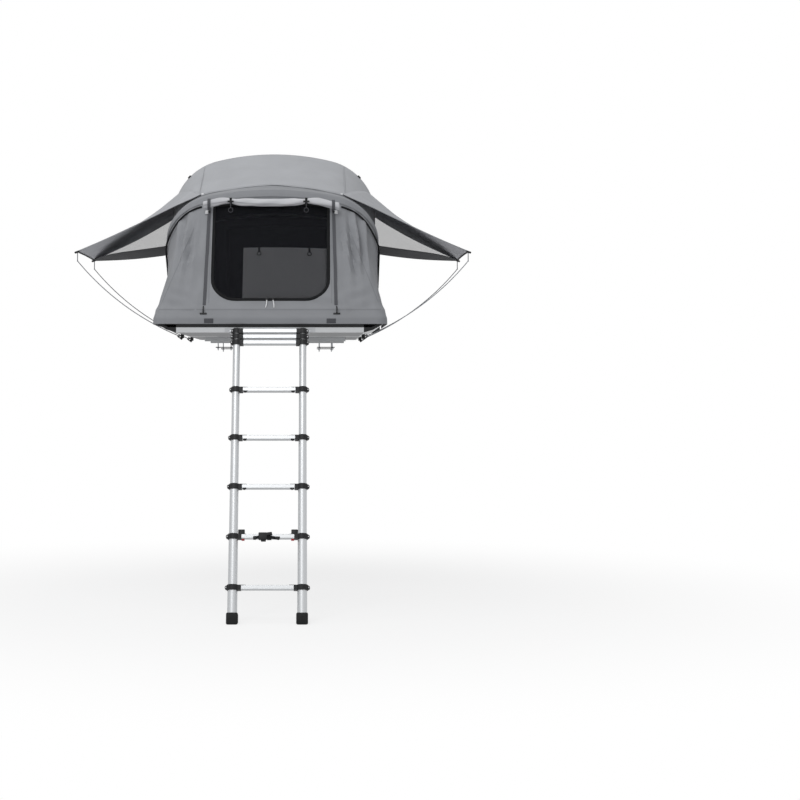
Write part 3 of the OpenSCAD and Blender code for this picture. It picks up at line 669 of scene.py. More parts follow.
def on_side(end, side, d, z, lift):
    return cast(end, (side * OUT_SIDE, FOLD_Y + end * d, z), (-side, 0, 0), lift)


def spread(place, points):
    """Points and normals of a surface for a list of arguments."""
    return zip(*[place(*p) for p in points])


# Doors
def door_half_width(up):
    """Half width of the door at a height above its sill."""
    low = min(up, DOOR_R)
    return DOOR_HW - DOOR_R + sqrt(max(0.0, DOOR_R ** 2 - (DOOR_R - low) ** 2))


def door_loop(grow):
    """Outline of the door as (x, up the wall), from the sill round."""
    hw, r = DOOR_HW + grow, DOOR_R + grow
    base, top = SILL - grow, SILL + DOOR_H + grow
    arc = np.linspace(0, pi / 2, 10)
    right = [(hw - r + r * sin(a), base + r - r * cos(a)) for a in arc]
    right += [(hw, up) for up in np.linspace(base + r, top, 22)[1:]]
    top_row = [(x, top) for x in np.linspace(hw, -hw, 30)[1:-1]]
    left = [(-x, up) for x, up in right[::-1]]
    sill_row = [(x, base) for x in np.linspace(-(hw - r), hw - r, 16)[1:-1]]
    return right + top_row + left + sill_row


def door_cutter(end):
    rings = [[wall_place(end, x, up, depth) for x, up in door_loop(0.0)] for depth in (CUT_DEPTH, -CUT_DEPTH)]
    return Soup().add(loft(rings)).build("door_cutter", CANVAS)


def door_panel(end, lift, left=-DOOR_HW, right=DOOR_HW, low=SILL + 0.001, high=SILL + DOOR_H):
    """Grid over the door opening or over a part of it."""
    grid = []
    for up in np.linspace(low, high, 36):
        hw = door_half_width(up - SILL + 0.002)
        row = np.linspace(max(-hw, left), min(hw, right), 31)
        grid.append([on_wall(end, x, up, lift)[0] for x in row])
    return np.array(grid)


# Tape and teeth of a door's zip: growth past the opening, lift, width and thickness
ZIP_TAPES = ((0.002, -0.003, 0.021, 0.0065), (0.004, 0.0032, 0.006, 0.0022))
for end, name in END_NAME.items():
    canopy = cloth(f"canopy_{name}_cloth", CANOPY[end], CANVAS, CANVAS_IN)
    cutter = door_cutter(end)
    cut = canopy.modifiers.new("door", "BOOLEAN")
    cut.operation = "DIFFERENCE"
    cut.solver = "EXACT"
    cut.object = cutter
    applied(canopy)
    bpy.data.objects.remove(cutter)
    soft(canopy, end)
    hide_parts(f"canopy_{name}")

    net = soft(cloth(f"{name}_door_net", door_panel(end, -0.0015), MESH, thick=NET), end)
    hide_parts(f"{name}_door_mesh")

    zipper = Soup()
    for grow, lift, width, thick in ZIP_TAPES:
        points = [(end, x, up, lift) for x, up in door_loop(grow)]
        zipper.add(ribbon(*spread(on_wall, points), width, thick, closed=True))
    soft(zipper.build(f"{name}_door_zip", TAPE), end)


# Trim on the end walls
STRAP_X = 0.402
STRAP_SPLAY = 0.014
STRAP_TOP = 0.895
STRAP_DROP = 0.695
STRAP_W = 0.020
STRAP_T = 0.0018
PATCH_X = 0.385
PATCH_Z = 0.100
PATCH_SIZE = (0.058, 0.030, 0.004)
HOOK_X = 0.42
HOOK_Z = 0.158
HOOK_BAR = (0.044, 0.011, 0.006)
HOOK_WIRE = 0.0042
HOOK_BEND = ((-0.012, 0.004), (0.0, 0.012), (0.014, 0.014), (0.028, 0.010), (0.036, 0.003))
BUCKLE_Z = 0.815
BUCKLE_SIZE = (0.022, 0.026, 0.008)
LATCH_SIZE = (0.016, 0.014, 0.011)
PULL_X = (-0.022, 0.018)
PULL_SIZE = (0.012, 0.018, 0.006)
PULL_CORD = 0.052
SEAM_Z = 0.172
SEAM_HW = 0.70
SEAM_W = 0.009
SEAM_LIFT = 0.0006
HEM_W = 0.006
HEM_T = 0.0008
# Upright seams: top and foot as (x, z), and width
UPRIGHT_SEAMS = (((0.500, 0.715), (0.682, 0.225), 0.006), ((0.392, 0.80), (0.388, 0.215), 0.005))


def seam_line(end, start, stop, n, width):
    """Flat seam between two places (x, z) on an end wall."""
    points = [(end, x, z, SEAM_LIFT) for x, z in np.linspace(start, stop, n)]
    return ribbon(*spread(on_end, points), width, HEM_T)


for end, name in END_NAME.items():
    seams = Soup()
    seams.add(seam_line(end, (-SEAM_HW, SEAM_Z), (SEAM_HW, SEAM_Z), 71, SEAM_W))
    for side in (-1, 1):
        for (top_x, top_z), (foot_x, foot_z), width in UPRIGHT_SEAMS:
            seams.add(seam_line(end, (side * top_x, top_z), (side * foot_x, foot_z), 30, width))
    soft(seams.build(f"{name}_wall_seams", SEAM), end)

    straps = Soup()
    for side in (-1, 1):
        points = []
        for t in np.linspace(0, 1, 34):
            slack = 0.0022 + 0.004 * sin(pi * t)
            points.append((end, side * (STRAP_X + STRAP_SPLAY * t), STRAP_TOP - STRAP_DROP * t, slack))
        straps.add(ribbon(*spread(on_end, points), STRAP_W, STRAP_T))
        seat = facing(*on_end(end, side * PATCH_X, PATCH_Z, 0.0012))
        straps.add(rounded_box(PATCH_SIZE, 0.0015, seat), 1)
    soft(straps.build(f"{name}_wall_straps", STRAP, PATCH), end)

    hooks = Soup()
    for side in (-1, 1):
        seat = facing(*on_end(end, side * HOOK_X, HOOK_Z, 0.001))
        hooks.add(rounded_box(HOOK_BAR, 0.002, seat @ Matrix.Translation((0, -0.014, 0.002))))
        hooks.add(tube([seat @ Vector((0, up, out)) for up, out in HOOK_BEND], HOOK_WIRE))
        buckle = facing(*on_end(end, side * (STRAP_X + 0.016), BUCKLE_Z, 0.005))
        hooks.add(rounded_box(BUCKLE_SIZE, 0.003, buckle), 1)
        latch = buckle @ Matrix.Translation((-0.016 * side, 0.004, 0))
        hooks.add(rounded_box(LATCH_SIZE, 0.003, latch))
    soft(hooks.build(f"{name}_wall_hooks", BLACK, PALE), end)

    pulls = Soup()
    for x in PULL_X:
        seat = facing(*on_wall(end, x, SILL - 0.002, 0.006))
        pulls.add(rounded_box(PULL_SIZE, 0.002, seat), 1)
        cord = [(0.315 * x * t + 0.0025 * sin(3 * t), -0.009 - PULL_CORD * t, 0.003)
                for t in np.linspace(0, 1, 9)]
        pulls.add(tube([seat @ Vector(p) for p in cord], 0.0036))
    soft(pulls.build(f"{name}_zip_pulls", PALE, BLACK), end)


# Piping along the outer hoops and hoop sleeves
PIPING_R = 0.0065
SLEEVE_START, SLEEVE_STOP = 1.87, 2.11
for end, name in END_NAME.items():
    piping = Soup()
    for side in (-1, 1):
        cols = np.linspace(1.05, 9.4, 60)
        inset = 2.26 + 0.07 * bell(cols, 5.2, 1.6) - 0.10 * step(4, 9, cols)
        path = placed([canopy_rows(r, np.array([c]), CANOPY_O + 0.004)[0] for r, c in zip(inset, cols)], end)
        piping.add(tube(mirrored(path, side), PIPING_R, 8))
    soft(piping.build(f"{name}_arch_piping", TAPE), end)
    cols = np.linspace(1.0, COLS, 70)
    rows = []
    for r in np.linspace(SLEEVE_START, SLEEVE_STOP, 12):
        lift = 0.005 * sin(pi * (r - SLEEVE_START) / (SLEEVE_STOP - SLEEVE_START))
        rows.append(across(canopy_rows(r, cols, CANOPY_O + 0.0014 + lift)))
    band = placed(rows, end)
    sleeve = soft(cloth(f"{name}_hoop_sleeve", band, CANVAS), end)


# Fly sheet
def seam_col(row):
    """Column of the seam between fly and awning, highest at the front."""
    return SEAM_LOW + (SEAM_HIGH - SEAM_LOW) * row / FLY_END


def roof_place(row, col, offset):
    share = np.asarray(row)[..., None] / 2
    return roof_points(col, offset) * (1 - share) + arch_points(col, offset) * share


FLY_TAB = (0.026, 0.020, 0.011)
SNAP = [(0.011, 0.0), (0.011, 0.003), (0.008, 0.006), (0.0005, 0.007)]
FLY_U = np.linspace(0, 1, 60)
FLY_STEPS = np.linspace(0, 1, 33)
for end, name in END_NAME.items():
    fly_row = FLY_STEPS[:, None] * (FLY_END - FLY_DIP * FLY_U ** 2)
    fly_col = seam_col(fly_row) + (COLS - seam_col(fly_row)) * FLY_U
    grid = np.array([across(half_row) for half_row in roof_place(fly_row, fly_col, FLY_O)])
    row = np.array([np.concatenate([r, r[-2::-1]]) for r in fly_row])
    across_x = grid[..., 0]
    size = np.abs(across_x)
    span = np.sin(pi * row / 2)
    move = -0.009 * span * bell(size, 0, 0.6)
    move += 0.002 * span * bell(size, 0.42, 0.1) * np.sin(9 * row + 14 * across_x)
    front = step(FLY_END - 0.35, FLY_END, row)
    move += front * (0.0015 * np.sin(19 * across_x) * np.cos(11 * across_x) - 0.0045)
    n = outward(grid)
    grid = placed(grid + n * move[..., None], end)
    n = n * np.array([1, end, 1])
    fly = soft(cloth(f"fly_{name}_cloth", grid, FLY), end)
    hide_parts(f"fly_{name}")

    hems = Soup()
    for index in (-1, -2):
        hems.add(ribbon(grid[index, 1:-1] + n[index, 1:-1] * HEM_T, n[index, 1:-1], HEM_W, HEM_T))
    for side in (-1, 1):
        rows = np.linspace(0.02, 1.72, 30)
        path = mirrored(placed(roof_place(rows, np.full(30, PANEL_COL), FLY_O + 0.001), end), side)
        normals = np.array([n[np.argmin(abs(fly_row[:, 0] - r)), 30 if side < 0 else -31] for r in rows])
        hems.add(ribbon(path, normals, HEM_W, HEM_T))
    soft(hems.build(f"fly_{name}_hems", FLY_SEAM), end)
    pins = Soup()
    for side in (-1, 1):
        corner = 2 if side < 0 else -3
        seat = facing(grid[-2, corner], n[-2, corner])
        pins.add(turned(SNAP, seat))
        place = mirrored(placed(roof_place(0.03, np.array(TAB_COL), FLY_O + 0.004), end), side)
        turn = Matrix.Rotation(0.8 * side, 4, "Y")
        pins.add(rounded_box(FLY_TAB, 0.004, Matrix.Translation(place) @ turn), 1)
    soft(pins.build(f"fly_{name}_snaps", PALE, BLACK), end)


# Rolled-up door
ROLL_HW = 0.440
TOGGLE_X = 0.2445
ROLL_SHIFT = -0.018
ROLL_FLAT = 0.84
ROLL_TALL = 1.10
ROLL_D = 0.046
ROLL_DROP = 0.067
ROLL_SAG = 0.016
ROLL_OUT = 0.0205
ROLL_TURNS = 4.2


def roll_hang(x):
    t = abs(x - ROLL_SHIFT) / TOGGLE_X
    if t < 1:
        return ROLL_SAG * (1 - t ** 4)
    return ROLL_SAG * 2.4 * ((t - 1) * TOGGLE_X / (ROLL_HW - TOGGLE_X)) ** 1.4


def roll_centre(x):
    s = ROLL_DROP + roll_hang(x)
    d = WALL_TOP_D + s * sin(WALL_A) + ROLL_D / 2 + ROLL_OUT
    return np.array([x, FOLD_Y - d, WALL_TOP_Z - s * cos(WALL_A)])


def roll_girth(x):
    from_toggle = abs(abs(x - ROLL_SHIFT) - TOGGLE_X)
    return ROLL_D / 2 * (0.60 + 0.46 * min(1, from_toggle / 0.075) ** 0.7)


spiral = np.linspace(0, 1, 110)
roll_grid = []
for x in np.linspace(-ROLL_HW, ROLL_HW, 72):
    angle = 2 * pi * ROLL_TURNS * spiral + 2.3 + 0.25 * sin(5 * x)
    wave = 1 + 0.09 * np.sin(3 * angle + 30 * x) + 0.06 * np.sin(41 * x + angle)
    radius = roll_girth(x) * (0.22 + 0.76 * spiral) * (1 + (wave - 1) * spiral)
    centre = roll_centre(x)
    pucker = 0.006 * np.sin(17 * x + 2 * angle) * (spiral > 0.7)
    roll_grid.append(np.stack([centre[0] + 0.2 * pucker, centre[1] + ROLL_FLAT * radius * np.cos(angle),
                               centre[2] + ROLL_TALL * radius * np.sin(angle)], 1))
roll_grid = np.array(roll_grid)
roll = soft(cloth("door_roll_cloth", roll_grid, ROLL, thick=0.0008), FRONT)
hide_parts("door_roll")


def band_round(x, r, start, stop, n, width, thick):
    """Strap round the roll between two angles, in degrees."""
    centre = roll_centre(x)
    a = np.radians(np.linspace(start, stop, n))
    normals = np.stack([np.zeros(n), np.cos(a), np.sin(a)], 1)
    return ribbon(centre + normals * np.array([0, ROLL_FLAT, ROLL_TALL]) * r, normals, width, thick)


TOGGLE = [(0.003, -0.020), (0.006, -0.017), (0.0045, 0.0), (0.006, 0.017), (0.003, 0.020)]
toggles = Soup()
for x in (ROLL_SHIFT - TOGGLE_X, ROLL_SHIFT + TOGGLE_X):
    _, y, z = roll_centre(x)
    r = roll_girth(x) + 0.003
    toggles.add(band_round(x, r, 40, 330, 30, 0.016, 0.0016))
    seat = Matrix.Translation((x, y - r - 0.004, z - 0.006)) @ Matrix.Rotation(pi / 2, 4, "Y")
    toggles.add(turned(TOGGLE, seat), 1)
    hang = Matrix.Translation((x, y - r - 0.004, z - 0.062)) @ Matrix.Rotation(pi / 2, 4, "X")
    toggles.add(ring(0.0145, 0.0018, hang), 2)
    toggles.add(tube([(x, y - r - 0.003, z - drop) for drop in (0.004, 0.024, 0.047)], 0.0025), 2)
for x in (-STRAP_X, STRAP_X):
    toggles.add(band_round(x, roll_girth(x) * 1.1 + 0.003, 75, 285, 24, STRAP_W, STRAP_T), 2)
soft(toggles.build("door_roll_toggles", TAPE, BLACK, STRAP), FRONT)


# Rear door, zipped shut over its net
shut_door = soft(cloth("rear_door_cloth", door_panel(REAR, 0.0008), CANVAS, CANVAS_IN), REAR)


# Inner flap behind the front net, buttoned at its top
FLAP_TOP = 0.52
FLAP_LEFT, FLAP_RIGHT = -0.177, 0.36
flap_grid = door_panel(FRONT, -0.012, FLAP_LEFT, FLAP_RIGHT, SILL + 0.006, FLAP_TOP)
inner_flap = soft(cloth("front_inner_flap", flap_grid, FLAP), FRONT)
buttons = Soup()
for x in (-0.075, 0.247):
    seat = facing(*on_wall(FRONT, x, FLAP_TOP - 0.014, -0.007))
    buttons.add(rounded_box((0.012, 0.036, 0.006), 0.002, seat))
    buttons.add(ring(0.013, 0.0022, seat @ Matrix.Translation((0, -0.032, 0))))
soft(buttons.build("front_flap_toggles", BLACK), FRONT)


# Side windows
WINDOW_LOW, WINDOW_HIGH, WINDOW_IN = 0.25, 0.60, 0.035


def window_reach(z):
    """How far a side window goes from the fold line, inside the leaning hoop leg."""
    return HOOP_SET + (z - PIVOT_Z + HOOP_DROP) / tan(HOOP_LEAN) - 0.055


window_edge = [(WINDOW_IN, z) for z in np.linspace(WINDOW_LOW, WINDOW_HIGH, 16)]
window_edge += [(d, WINDOW_HIGH) for d in np.linspace(WINDOW_IN, window_reach(WINDOW_HIGH), 16)[1:-1]]
window_edge += [(window_reach(z), z) for z in np.linspace(WINDOW_HIGH, WINDOW_LOW, 16)]
window_edge += [(d, WINDOW_LOW) for d in np.linspace(window_reach(WINDOW_LOW), WINDOW_IN, 5)[1:-1]]
for end, name in END_NAME.items():
    for side, side_name in SIDE_NAME.items():
        label = f"{name}_{side_name}"
        grid = np.array([[on_side(end, side, d, z, 0.0012)[0]
                          for d in np.linspace(WINDOW_IN, max(WINDOW_IN + 0.02, window_reach(z)), 20)]
                         for z in np.linspace(WINDOW_LOW, WINDOW_HIGH, 24)])
        window = soft(cloth(f"side_window_{label}", grid, MESH, thick=NET), end)
        points = [(end, side, d, z, 0.0014) for d, z in window_edge]
        edge = Soup().add(ribbon(*spread(on_side, points), 0.016, 0.0018, closed=True))
        soft(edge.build(f"side_window_tape_{label}", TAPE), end)


# Awnings
HEM_CURVE = 0.008
FLAP_ROOT = 0.80
FLAP_TIP = 0.03
WING_HEM, FLAP_HEM, TIP_HEM = 0.0028, 0.0024, 0.0045
AWNING_TAB = (0.034, 0.030, 0.012)


def wing_seam(t):
    """Seam of the wing along the shoulder, from the front (0) to the rear (1)."""
    row = (FLY_END if t < 0.5 else WING_END) * abs(2 * t - 1)
    return placed(roof_place(row, np.array(seam_col(row) + 0.04), WING_O), FRONT if t < 0.5 else REAR)


def tip(t, z):
    return np.array([TIP_X - HEM_CURVE * (1 - (2 * t - 1) ** 2), FOLD_Y + AWNING_HL * (2 * t - 1), z])


def flap_root(t):
    return np.array([LEG_X + 0.0205, FOLD_Y + AWNING_HL * (2 * t - 1), FLAP_Z])


def wing_point(t, j):
    a, b = wing_seam(t), tip(t, TIP_Z)
    p = a + (b - a) * j
    sag = (0.006 + 0.030 * sin(pi * t) + 0.016 * t) * sin(pi * j)
    ripple = 0.004 * sin(pi * j) * sin(21 * t + 5 * j)
    gather = 0.0035 * bell(j, 0.2, 0.16) * sin(64 * t + 8 * j + 2 * sin(9 * t))
    return p + np.array([0, 0, ripple + gather - sag])


def flap_point(t, j):
    """Window flap, which narrows to the rear tip."""
    t = 1 - (1 - t) * (FLAP_ROOT * (1 - j ** 4) + FLAP_TIP)
    a, b = flap_root(t), tip(t, TIP_Z - 0.0036)
    p = a + (b - a) * j
    return p + np.array([0, 0, -0.012 * sin(pi * j)])


T_STEPS = np.linspace(0, 1, 97)
J_STEPS = np.linspace(0, 1, 31)


def awning_line(place, t, side):
    return mirrored([place(t, j) for j in J_STEPS], side)


def awning_grid(place, side):
    return np.array([awning_line(place, t, side) for t in T_STEPS])


def furl(obj, side):
    """Awning cloth, which moves with its awning."""
    dress(obj, f"awning_{SIDE_NAME[side]}")
    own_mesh(obj)
    return obj


for side, label in SIDE_NAME.items():
    wing_grid = awning_grid(wing_point, side)
    wing = furl(cloth(f"awning_{label}_wing", wing_grid, FLY, LINING, top=(0, 0, 1)), side)
    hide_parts(f"awning_{label}")
    flap_grid = awning_grid(flap_point, side)
    # The flap's underside takes the painted shade
    flap = furl(cloth(f"awning_{label}_flap", flap_grid, LINING, PAINTED_SHADE_UNDER, top=(0, 0, 1)), side)
    upper, lower = awning_line(wing_point, 1, side), awning_line(flap_point, 1, side)
    gusset_grid = np.array([upper * (1 - v) + lower * v for v in np.linspace(0, 1, 14)])
    gusset = furl(cloth(f"awning_{label}_gusset", gusset_grid, GUSSET, thick=NET), side)
    # The flap and tip hems take the second material, the painted shade of the undersides
    hem = Soup()
    for t in (0.0, 1.0):
        hem.add(tube(awning_line(wing_point, t, side), WING_HEM, 8))
        hem.add(tube(awning_line(flap_point, t, side), FLAP_HEM, 8), 1)
    hem.add(tube(mirrored([tip(t, TIP_Z - 0.002) for t in T_STEPS], side), TIP_HEM, 8), 1)
    furl(hem.build(f"awning_{label}_hems", FLY_SEAM, PAINTED_SHADE_UNDER), side)
    tabs = Soup()
    for t in (0.0, 1.0):
        corner = mirrored(tip(t, TIP_Z - 0.004), side)
        turn = Matrix.Rotation(0.35 * side, 4, "Y")
        tabs.add(rounded_box(AWNING_TAB, 0.004, Matrix.Translation(corner) @ turn))
    furl(tabs.build(f"awning_{label}_tabs", BLACK), side)


# Mattress halves
MATTRESS_HW = 0.630
MATTRESS_NEAR, MATTRESS_FAR = 0.012, 1.150
MATTRESS_SQUARE = 0.16
FLOOR_Z = 0.060
# Inset and height of the pad from its underside over its edge to its middle
PAD_LEVELS = ((0.030, 0.0), (0.010, 0.004), (0.002, 0.016), (0.000, 0.03), (0.003, 0.042), (0.014, 0.051),
              (0.050, 0.055), (0.150, 0.058), (0.350, 0.060), (0.500, 0.060))


def mattress_loop(inset, z, n=160):
    """Squared outline whose sides draw in between the corners."""
    middle, half = (MATTRESS_NEAR + MATTRESS_FAR) / 2, (MATTRESS_FAR - MATTRESS_NEAR) / 2
    c, s = np.cos(turns(n)), np.sin(turns(n))
    flat_x = np.sign(c) * np.abs(c) ** MATTRESS_SQUARE
    flat_y = np.sign(s) * np.abs(s) ** MATTRESS_SQUARE
    pull = 0.010 * (1 - np.minimum(np.abs(flat_x), np.abs(flat_y)) ** 2)
    x = flat_x * (MATTRESS_HW - inset - pull)
    return np.stack([x, middle + flat_y * (half - inset - pull), np.full(n, FLOOR_Z + z)], 1)


for end, name in END_NAME.items():
    pad = Soup().add(loft([placed(mattress_loop(inset, z), end) for inset, z in PAD_LEVELS]))
    for z in (0.010, 0.047):
        edge = placed(mattress_loop(0.001, z), end)
        pad.add(tube(np.concatenate([edge, edge[:1]]), 0.0028, 6), 1)
    mattress = dress(pad.build(f"{name}_mattress_pad", COVER, STRAP), BASE[end])
    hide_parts(f"{name}_mattress")


# Ladder details
LADDER_DOWN = Vector((0, -sin(LADDER_LEAN), -cos(LADDER_LEAN)))
LADDER_OUT = Vector((0, -cos(LADDER_LEAN), sin(LADDER_LEAN)))


def on_ladder(x, s, out):
    return LADDER_PIVOT + Vector((x, 0, 0)) + LADDER_DOWN * s + LADDER_OUT * out


def ladder_seat(x, s, out):
    """Placement on the ladder with X across, Y up the rails and Z towards the climber."""
    return Matrix.Translation(on_ladder(x, s, out)) @ Matrix(
        (Vector((1, 0, 0)), -LADDER_DOWN, LADDER_OUT)).transposed().to_4x4()


RIVET = [(0.0038, -0.002), (0.0038, 0.0012), (0.0028, 0.0024), (0.0005, 0.0028)]
TUBE_R = 0.019
TUBE_STEP = 0.0015
SOCKET_END = 0.021
RUNG_HALF = 0.014
RUNG_FRONT = 0.017
RUNG_ROUND = 0.005
SHORT_RUNGS = 3
STRAP_RUNG = 7


def wedge(width, height, depth, seat):
    """Small lever that tapers away from the rung it hangs under."""
    square = ((-0.5, -0.5), (0.5, -0.5), (0.5, 0.5), (-0.5, 0.5))
    rings = [[(x * width * share, -h * height, z * depth * share) for x, z in square]
             for h, share in ((0, 1), (0.6, 0.8), (1, 0.25))]
    return moved(loft(rings), seat)


for k, s in enumerate(RUNG_S, 1):
    radius = TUBE_R + TUBE_STEP * (k - 1)
    trim = Soup()
    for side in (-1, 1):
        inner = RAIL_X - radius - SOCKET_END
        trim.add(turned(RIVET, ladder_seat(side * (RAIL_X + radius + 0.0095), s, 0.0112)), 1)
        if k > SHORT_RUNGS:
            seat = ladder_seat(side * (inner - 0.010), s - RUNG_HALF - 0.0016, 0.004)
            trim.add(rounded_box((0.034, 0.003, 0.014), 0.001, seat))
        if SHORT_RUNGS < k < STRAP_RUNG:
            seat = ladder_seat(side * (inner - 0.015), s + 0.011, RUNG_FRONT + 0.0035)
            trim.add(wedge(0.026, 0.014, 0.009, seat))
        if k == STRAP_RUNG:
            seat = ladder_seat(side * (inner + 0.002), s - 0.022, -0.032)
            trim.add(rounded_box((0.040, 0.064, 0.014), 0.004, seat))
            seat = ladder_seat(side * (inner - 0.004), s, -0.0235)
            trim.add(rounded_box((0.030, 0.022, 0.016), 0.003, seat))
    dress(trim.build(f"ladder_trim_{k}", BLACK, PALE), f"ladder_{k}")

# Strap that ties the pushed-together ladder, wound round a rung
strap = Soup()
s = RUNG_S[STRAP_RUNG - 1]


def round_rung(grow, n=12):
    """Outline round a rung as (up, out) with normals."""
    h, d = RUNG_HALF - RUNG_ROUND, RUNG_FRONT - RUNG_ROUND
    reach = RUNG_ROUND + grow
    out = []
    for quarter, (v, u) in enumerate(((h, d), (h, -d), (-h, -d), (-h, d))):
        for a in np.linspace(0, pi / 2, n):
            turn = quarter * pi / 2 + a
            c, w = cos(turn), sin(turn)
            out.append((v + reach * w, u + reach * c, w, c))
    return out


outline = round_rung(0.0012)
for x, wide, slant in ((-0.034, 0.030, 0.35), (0.004, 0.026, -0.3)):
    path = [on_ladder(x + slant * v, s - v, u) for v, u, _, _ in outline]
    normals = [LADDER_OUT * c - LADDER_DOWN * w for _, _, w, c in outline]
    strap.add(ribbon(path, normals, wide, 0.002, closed=True))
tail = [(-0.082, 0.012), (-0.066, 0.010), (-0.045, 0.006), (-0.020, 0.004), (0.010, 0.008),
        (0.040, 0.012), (0.068, 0.017)]
path = [on_ladder(x, s + drop, RUNG_FRONT + 0.0075) for x, drop in tail]
strap.add(ribbon(path, [LADDER_OUT] * len(path), 0.019, 0.003))
# Blocks of the strap's buckle: size, rounding, place across, drop, step back and turn
BUCKLE = [
    ((0.052, 0.046, 0.014), 0.005, -0.030, 0.002, 0.0, 0.0),
    ((0.040, 0.020, 0.014), 0.005, 0.006, -0.012, 0.0, 0.15),
    ((0.020, 0.024, 0.012), 0.005, -0.078, 0.013, 0.0, 0.0),
    ((0.030, 0.018, 0.010), 0.004, -0.026, 0.026, 0.004, 0.0),
    ((0.026, 0.020, 0.012), 0.005, 0.060, 0.014, 0.0, 0.0),
]
for size, bevel, x, drop, back, turn in BUCKLE:
    seat = ladder_seat(x, s + drop, RUNG_FRONT + 0.009 - back) @ Matrix.Rotation(turn, 4, "Z")
    strap.add(rounded_box(size, bevel, seat), 1)
dress(strap.build("ladder_strap", TAPE, BLACK), f"ladder_{STRAP_RUNG}")

# Rubber shoes: rounded blocks cut level where they meet the ground
SHOE_HALF = 0.035
SHOE_ROUND = 0.011
SHOE_H = 0.062
SHOE_LEVELS = ((0.0, 0.004), (0.03, 0.0015), (0.09, 0.0), (0.90, 0.0), (0.96, 0.0025), (1.0, 0.009))
SHOE_WRAP = 0.030
SHOE_BORE = 0.0298
GROUND_S = RUNG_S[-1] + 0.217


def shoe_outline(inset, n=7):
    """Rounded square as (across, out), drawn in by the inset."""
    flat = SHOE_HALF - SHOE_ROUND
    corners = ((flat, flat), (-flat, flat), (-flat, -flat), (flat, -flat))
    reach = SHOE_ROUND - inset
    return [(x + reach * cos(a), y + reach * sin(a)) for q, (x, y) in enumerate(corners)
            for a in np.linspace(q * pi / 2, (q + 1) * pi / 2, n)]


shoes = Soup()
for side in (-1, 1):
    top = GROUND_S - SHOE_H
    sides = len(shoe_outline(0.0))
    bore = [(SHOE_BORE * cos(a), SHOE_BORE * sin(a)) for a in turns(sides) + pi / sides]
    rings = [[on_ladder(side * RAIL_X + x, s, out) for x, out in bore] for s in (GROUND_S - SHOE_WRAP, top)]
    for share, inset in SHOE_LEVELS:
        rings.append([on_ladder(side * RAIL_X + x, top + (SHOE_H + out * tan(LADDER_LEAN)) * share, out)
                      for x, out in shoe_outline(inset)])
    shoes.add(loft(rings))
feet = dress(shoes.build("ladder_shoes", RUBBER), f"ladder_{len(RUNG_S)}")
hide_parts("ladder_feet")


# Stage, light and camera
def seen_directly(tree):
    """One where a ray comes straight, by reflection or through glass from the camera."""
    path = add_node(tree, "ShaderNodeLightPath")
    last = path.outputs["Is Camera Ray"]
    for ray in ("Is Glossy Ray", "Is Transmission Ray"):
        last = combined(tree, "MAXIMUM", last, path.outputs[ray])
    return last


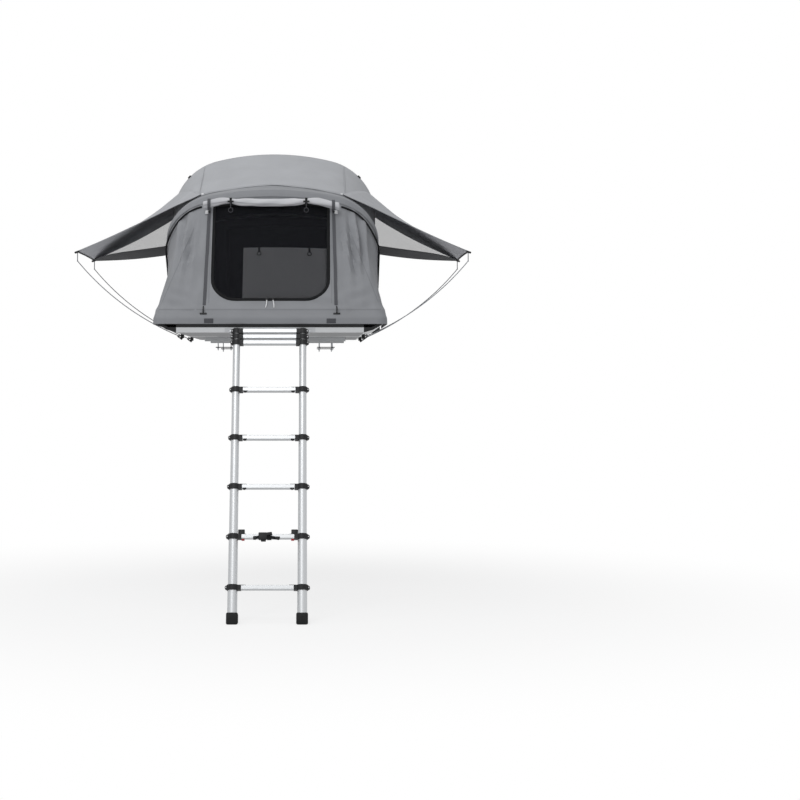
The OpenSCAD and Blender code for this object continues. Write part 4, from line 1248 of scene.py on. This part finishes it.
def floor_look():
    """Pale floor that keeps a soft shadow near the ladder and turns white farther out."""
    mat = bpy.data.materials.new("pale_floor")
    mat.use_nodes = True
    tree = mat.node_tree
    link = tree.links.new
    tree.nodes.clear()
    out = add_node(tree, "ShaderNodeOutputMaterial")
    ground = add_node(tree, "ShaderNodeBsdfDiffuse", Color=(0.86, 0.86, 0.87, 1))
    glow = add_node(tree, "ShaderNodeEmission", Color=(1, 1, 1, 1))
    place = add_node(tree, "ShaderNodeNewGeometry")
    reach = add_node(tree, "ShaderNodeVectorMath")
    reach.operation = "DISTANCE"
    reach.inputs[1].default_value = (0, -1.3, GROUND_Z)
    fade = add_node(tree, "ShaderNodeMapRange", From_Min=1.2, From_Max=4.5, To_Min=0.76, To_Max=1.0)
    fade.interpolation_type = "SMOOTHSTEP"
    mix = add_node(tree, "ShaderNodeMixShader")
    link(place.outputs["Position"], reach.inputs[0])
    link(reach.outputs["Value"], fade.inputs["Value"])
    link(combined(tree, "MULTIPLY", seen_directly(tree), fade.outputs["Result"]), mix.inputs["Fac"])
    link(ground.outputs[0], mix.inputs[1])
    link(glow.outputs[0], mix.inputs[2])
    link(mix.outputs[0], out.inputs["Surface"])
    return mat


FLOOR_HALF = 60.0
STAGE_Z = GROUND_Z - 0.0005
corners = [(x * FLOOR_HALF, y * FLOOR_HALF, STAGE_Z) for x, y in ((-1, -1), (1, -1), (1, 1), (-1, 1))]
Soup().add((corners, [(0, 1, 2, 3)])).build("floor", floor_look())

scene = bpy.context.scene
world = bpy.data.worlds.new("studio")
scene.world = world
world.use_nodes = True
tree = world.node_tree
background = tree.nodes["Background"]
background.inputs["Color"].default_value = (1, 1, 1, 1)
strength = add_node(tree, "ShaderNodeMapRange", To_Min=0.48, To_Max=1.0)
tree.links.new(seen_directly(tree), strength.inputs["Value"])
tree.links.new(strength.outputs["Result"], background.inputs["Strength"])


def area_lamp(name, place, aim, size, power):
    data = bpy.data.lights.new(name, "AREA")
    data.shape = "SQUARE"
    data.size = size
    data.energy = power
    lamp = bpy.data.objects.new(name, data)
    lamp.location = place
    lamp.rotation_mode = "QUATERNION"
    lamp.rotation_quaternion = (Vector(aim) - Vector(place)).to_track_quat("-Z", "Y")
    scene.collection.objects.link(lamp)


area_lamp("overhead", (-1.5, -1.8, 6.0), (0, -0.7, 0.4), 4.0, 90)
area_lamp("front_fill", (-1.9, -8.0, 5.6), (0, -1.0, 0.0), 4.0, 232)

CAMERA_PLACE = (0.283, -12.8, -0.24)
FOCAL_PIXELS = 1749
PICTURE = 800
AXIS_PIXEL = (315, 375)
camera = bpy.data.cameras.new("camera")
camera.sensor_width = 36
camera.lens = FOCAL_PIXELS / PICTURE * camera.sensor_width
camera.shift_x = 0.5 - AXIS_PIXEL[0] / PICTURE
camera.shift_y = AXIS_PIXEL[1] / PICTURE - 0.5
camera.clip_end = 300
view = bpy.data.objects.new("camera", camera)
view.location = CAMERA_PLACE
view.rotation_euler = (pi / 2, 0, 0)
scene.collection.objects.link(view)
scene.camera = view
scene.view_settings.view_transform = "Standard"
